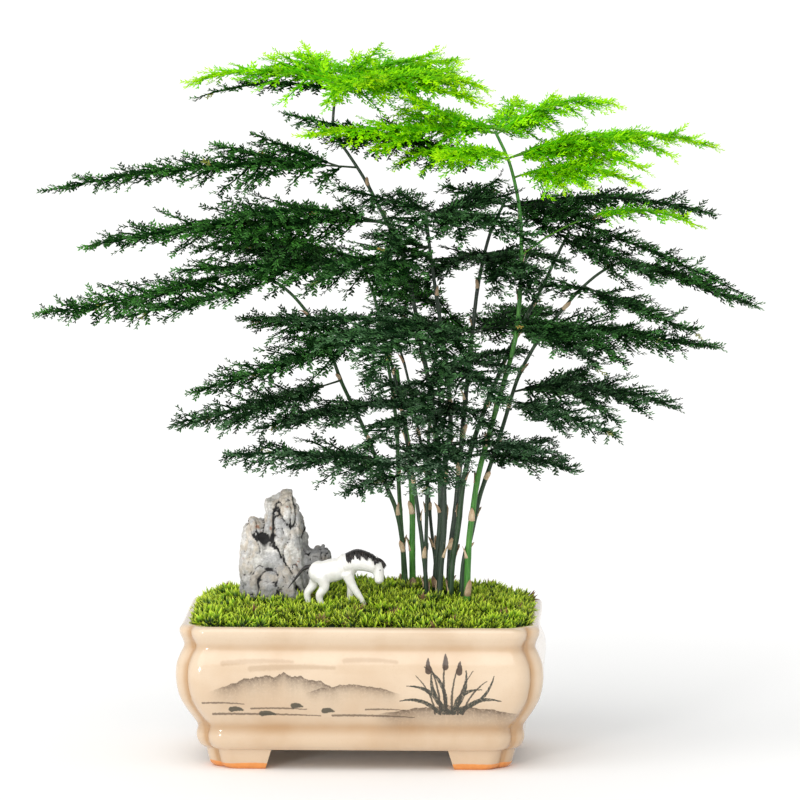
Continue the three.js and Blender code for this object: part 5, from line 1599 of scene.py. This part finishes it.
def make_fronds():
    sprigs = {age: sprig(f"{age}_sprig", *row) for age, row in SPRIGS.items()}
    needles = {"dark": old_needles(), "young": young_needles()}
    twigs = {age: twig_bark(*row) for age, row in TWIG_TONES.items()}
    listed = [(age, number, rows) for age in FRONDS for number, rows in enumerate(FRONDS[age], 1)]
    for index, (age, number, rows) in enumerate(listed):
        name = f"{age}_frond_{number:02d}"
        plume = frond_threads(rows, HABITS[age], index).source(f"{name}_plume")
        grow(
            plume, FEATHERY_TWIGS, Sprig=sprigs[age], Sprig_spacing=HABITS[age]["spacing"] * MM, Roll=0.5,
            Lift=0.35, Seed=index, Twig_material=twigs[age], Needle_material=needles[age],
        )
        # The glaucous tint is partly painted sheen where the light falls on the frond
        bloom, vivid = frond_tone(*rows[0][1:3])
        set_values(plume, "bloom", bloom)
        set_values(plume, "vivid", vivid)
        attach(plume, "root")
        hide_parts(name)
    for shape in sprigs.values():
        remove(shape)


# Floor, light and camera

CAMERA_DISTANCE = 4.0
CAMERA_AZIMUTH = math.radians(2)
CAMERA_DOWN = math.radians(6.5)
CAMERA_LENS = 308.8
TARGET_RIGHT = 0.0214
TARGET_HEIGHT = 0.2091
FLOOR_HALF = 20000
SKY_STRENGTH = 0.84
SUNS = [  # name, direction, strength, spread in degrees, colour
    ("key", (0.3, 0.6, -0.85), 1.15, 60, (1.0, 0.985, 0.96)),
    ("front", (0.4, 0.92, -0.16), 0.95, 10, (1, 1, 1)),
]


def add_floor():
    corners = [(x * FLOOR_HALF, y * FLOOR_HALF, 0) for x, y in ((-1, -1), (1, -1), (1, 1), (-1, 1))]
    floor = new_piece("floor", corners, [(0, 1, 2, 3)], smooth=False)
    floor.data.materials.append(pale_floor())


def add_sun(name, direction, strength, spread, colour):
    light = bpy.data.lights.new(name, "SUN")
    light.energy = strength
    light.angle = math.radians(spread)
    light.color = colour
    sun = add_object(name, light)
    sun.rotation_euler = Vector(direction).to_track_quat("-Z", "Y").to_euler()


def add_light():
    world = bpy.data.worlds.new("studio")
    world.use_nodes = True
    sky = world.node_tree.nodes["Background"].inputs
    sky["Color"].default_value = (1, 1, 1, 1)
    sky["Strength"].default_value = SKY_STRENGTH
    bpy.context.scene.world = world
    for row in SUNS:
        add_sun(*row)
    bpy.context.scene.view_settings.view_transform = "Standard"


def add_camera():
    ahead = Vector((
        -math.sin(CAMERA_AZIMUTH) * math.cos(CAMERA_DOWN),
        math.cos(CAMERA_AZIMUTH) * math.cos(CAMERA_DOWN),
        -math.sin(CAMERA_DOWN),
    ))
    right = Vector((math.cos(CAMERA_AZIMUTH), math.sin(CAMERA_AZIMUTH), 0))
    target = Vector(CENTRE) + right * TARGET_RIGHT + Vector((0, 0, TARGET_HEIGHT))
    camera = bpy.data.cameras.new("camera")
    camera.lens = CAMERA_LENS
    camera.clip_end = 100
    holder = add_object("camera", camera)
    holder.location = target - ahead * CAMERA_DISTANCE
    holder.rotation_euler = ahead.to_track_quat("-Z", "Y").to_euler()
    bpy.context.scene.camera = holder


add_camera()
add_light()
add_floor()
make_pot()
make_soil()
make_moss()
make_stone()
make_horse()
cane_materials = cane_skin(), papery_sheath()
for cane_number in range(len(CANES)):
    make_cane(cane_number, *cane_materials)
make_fronds()
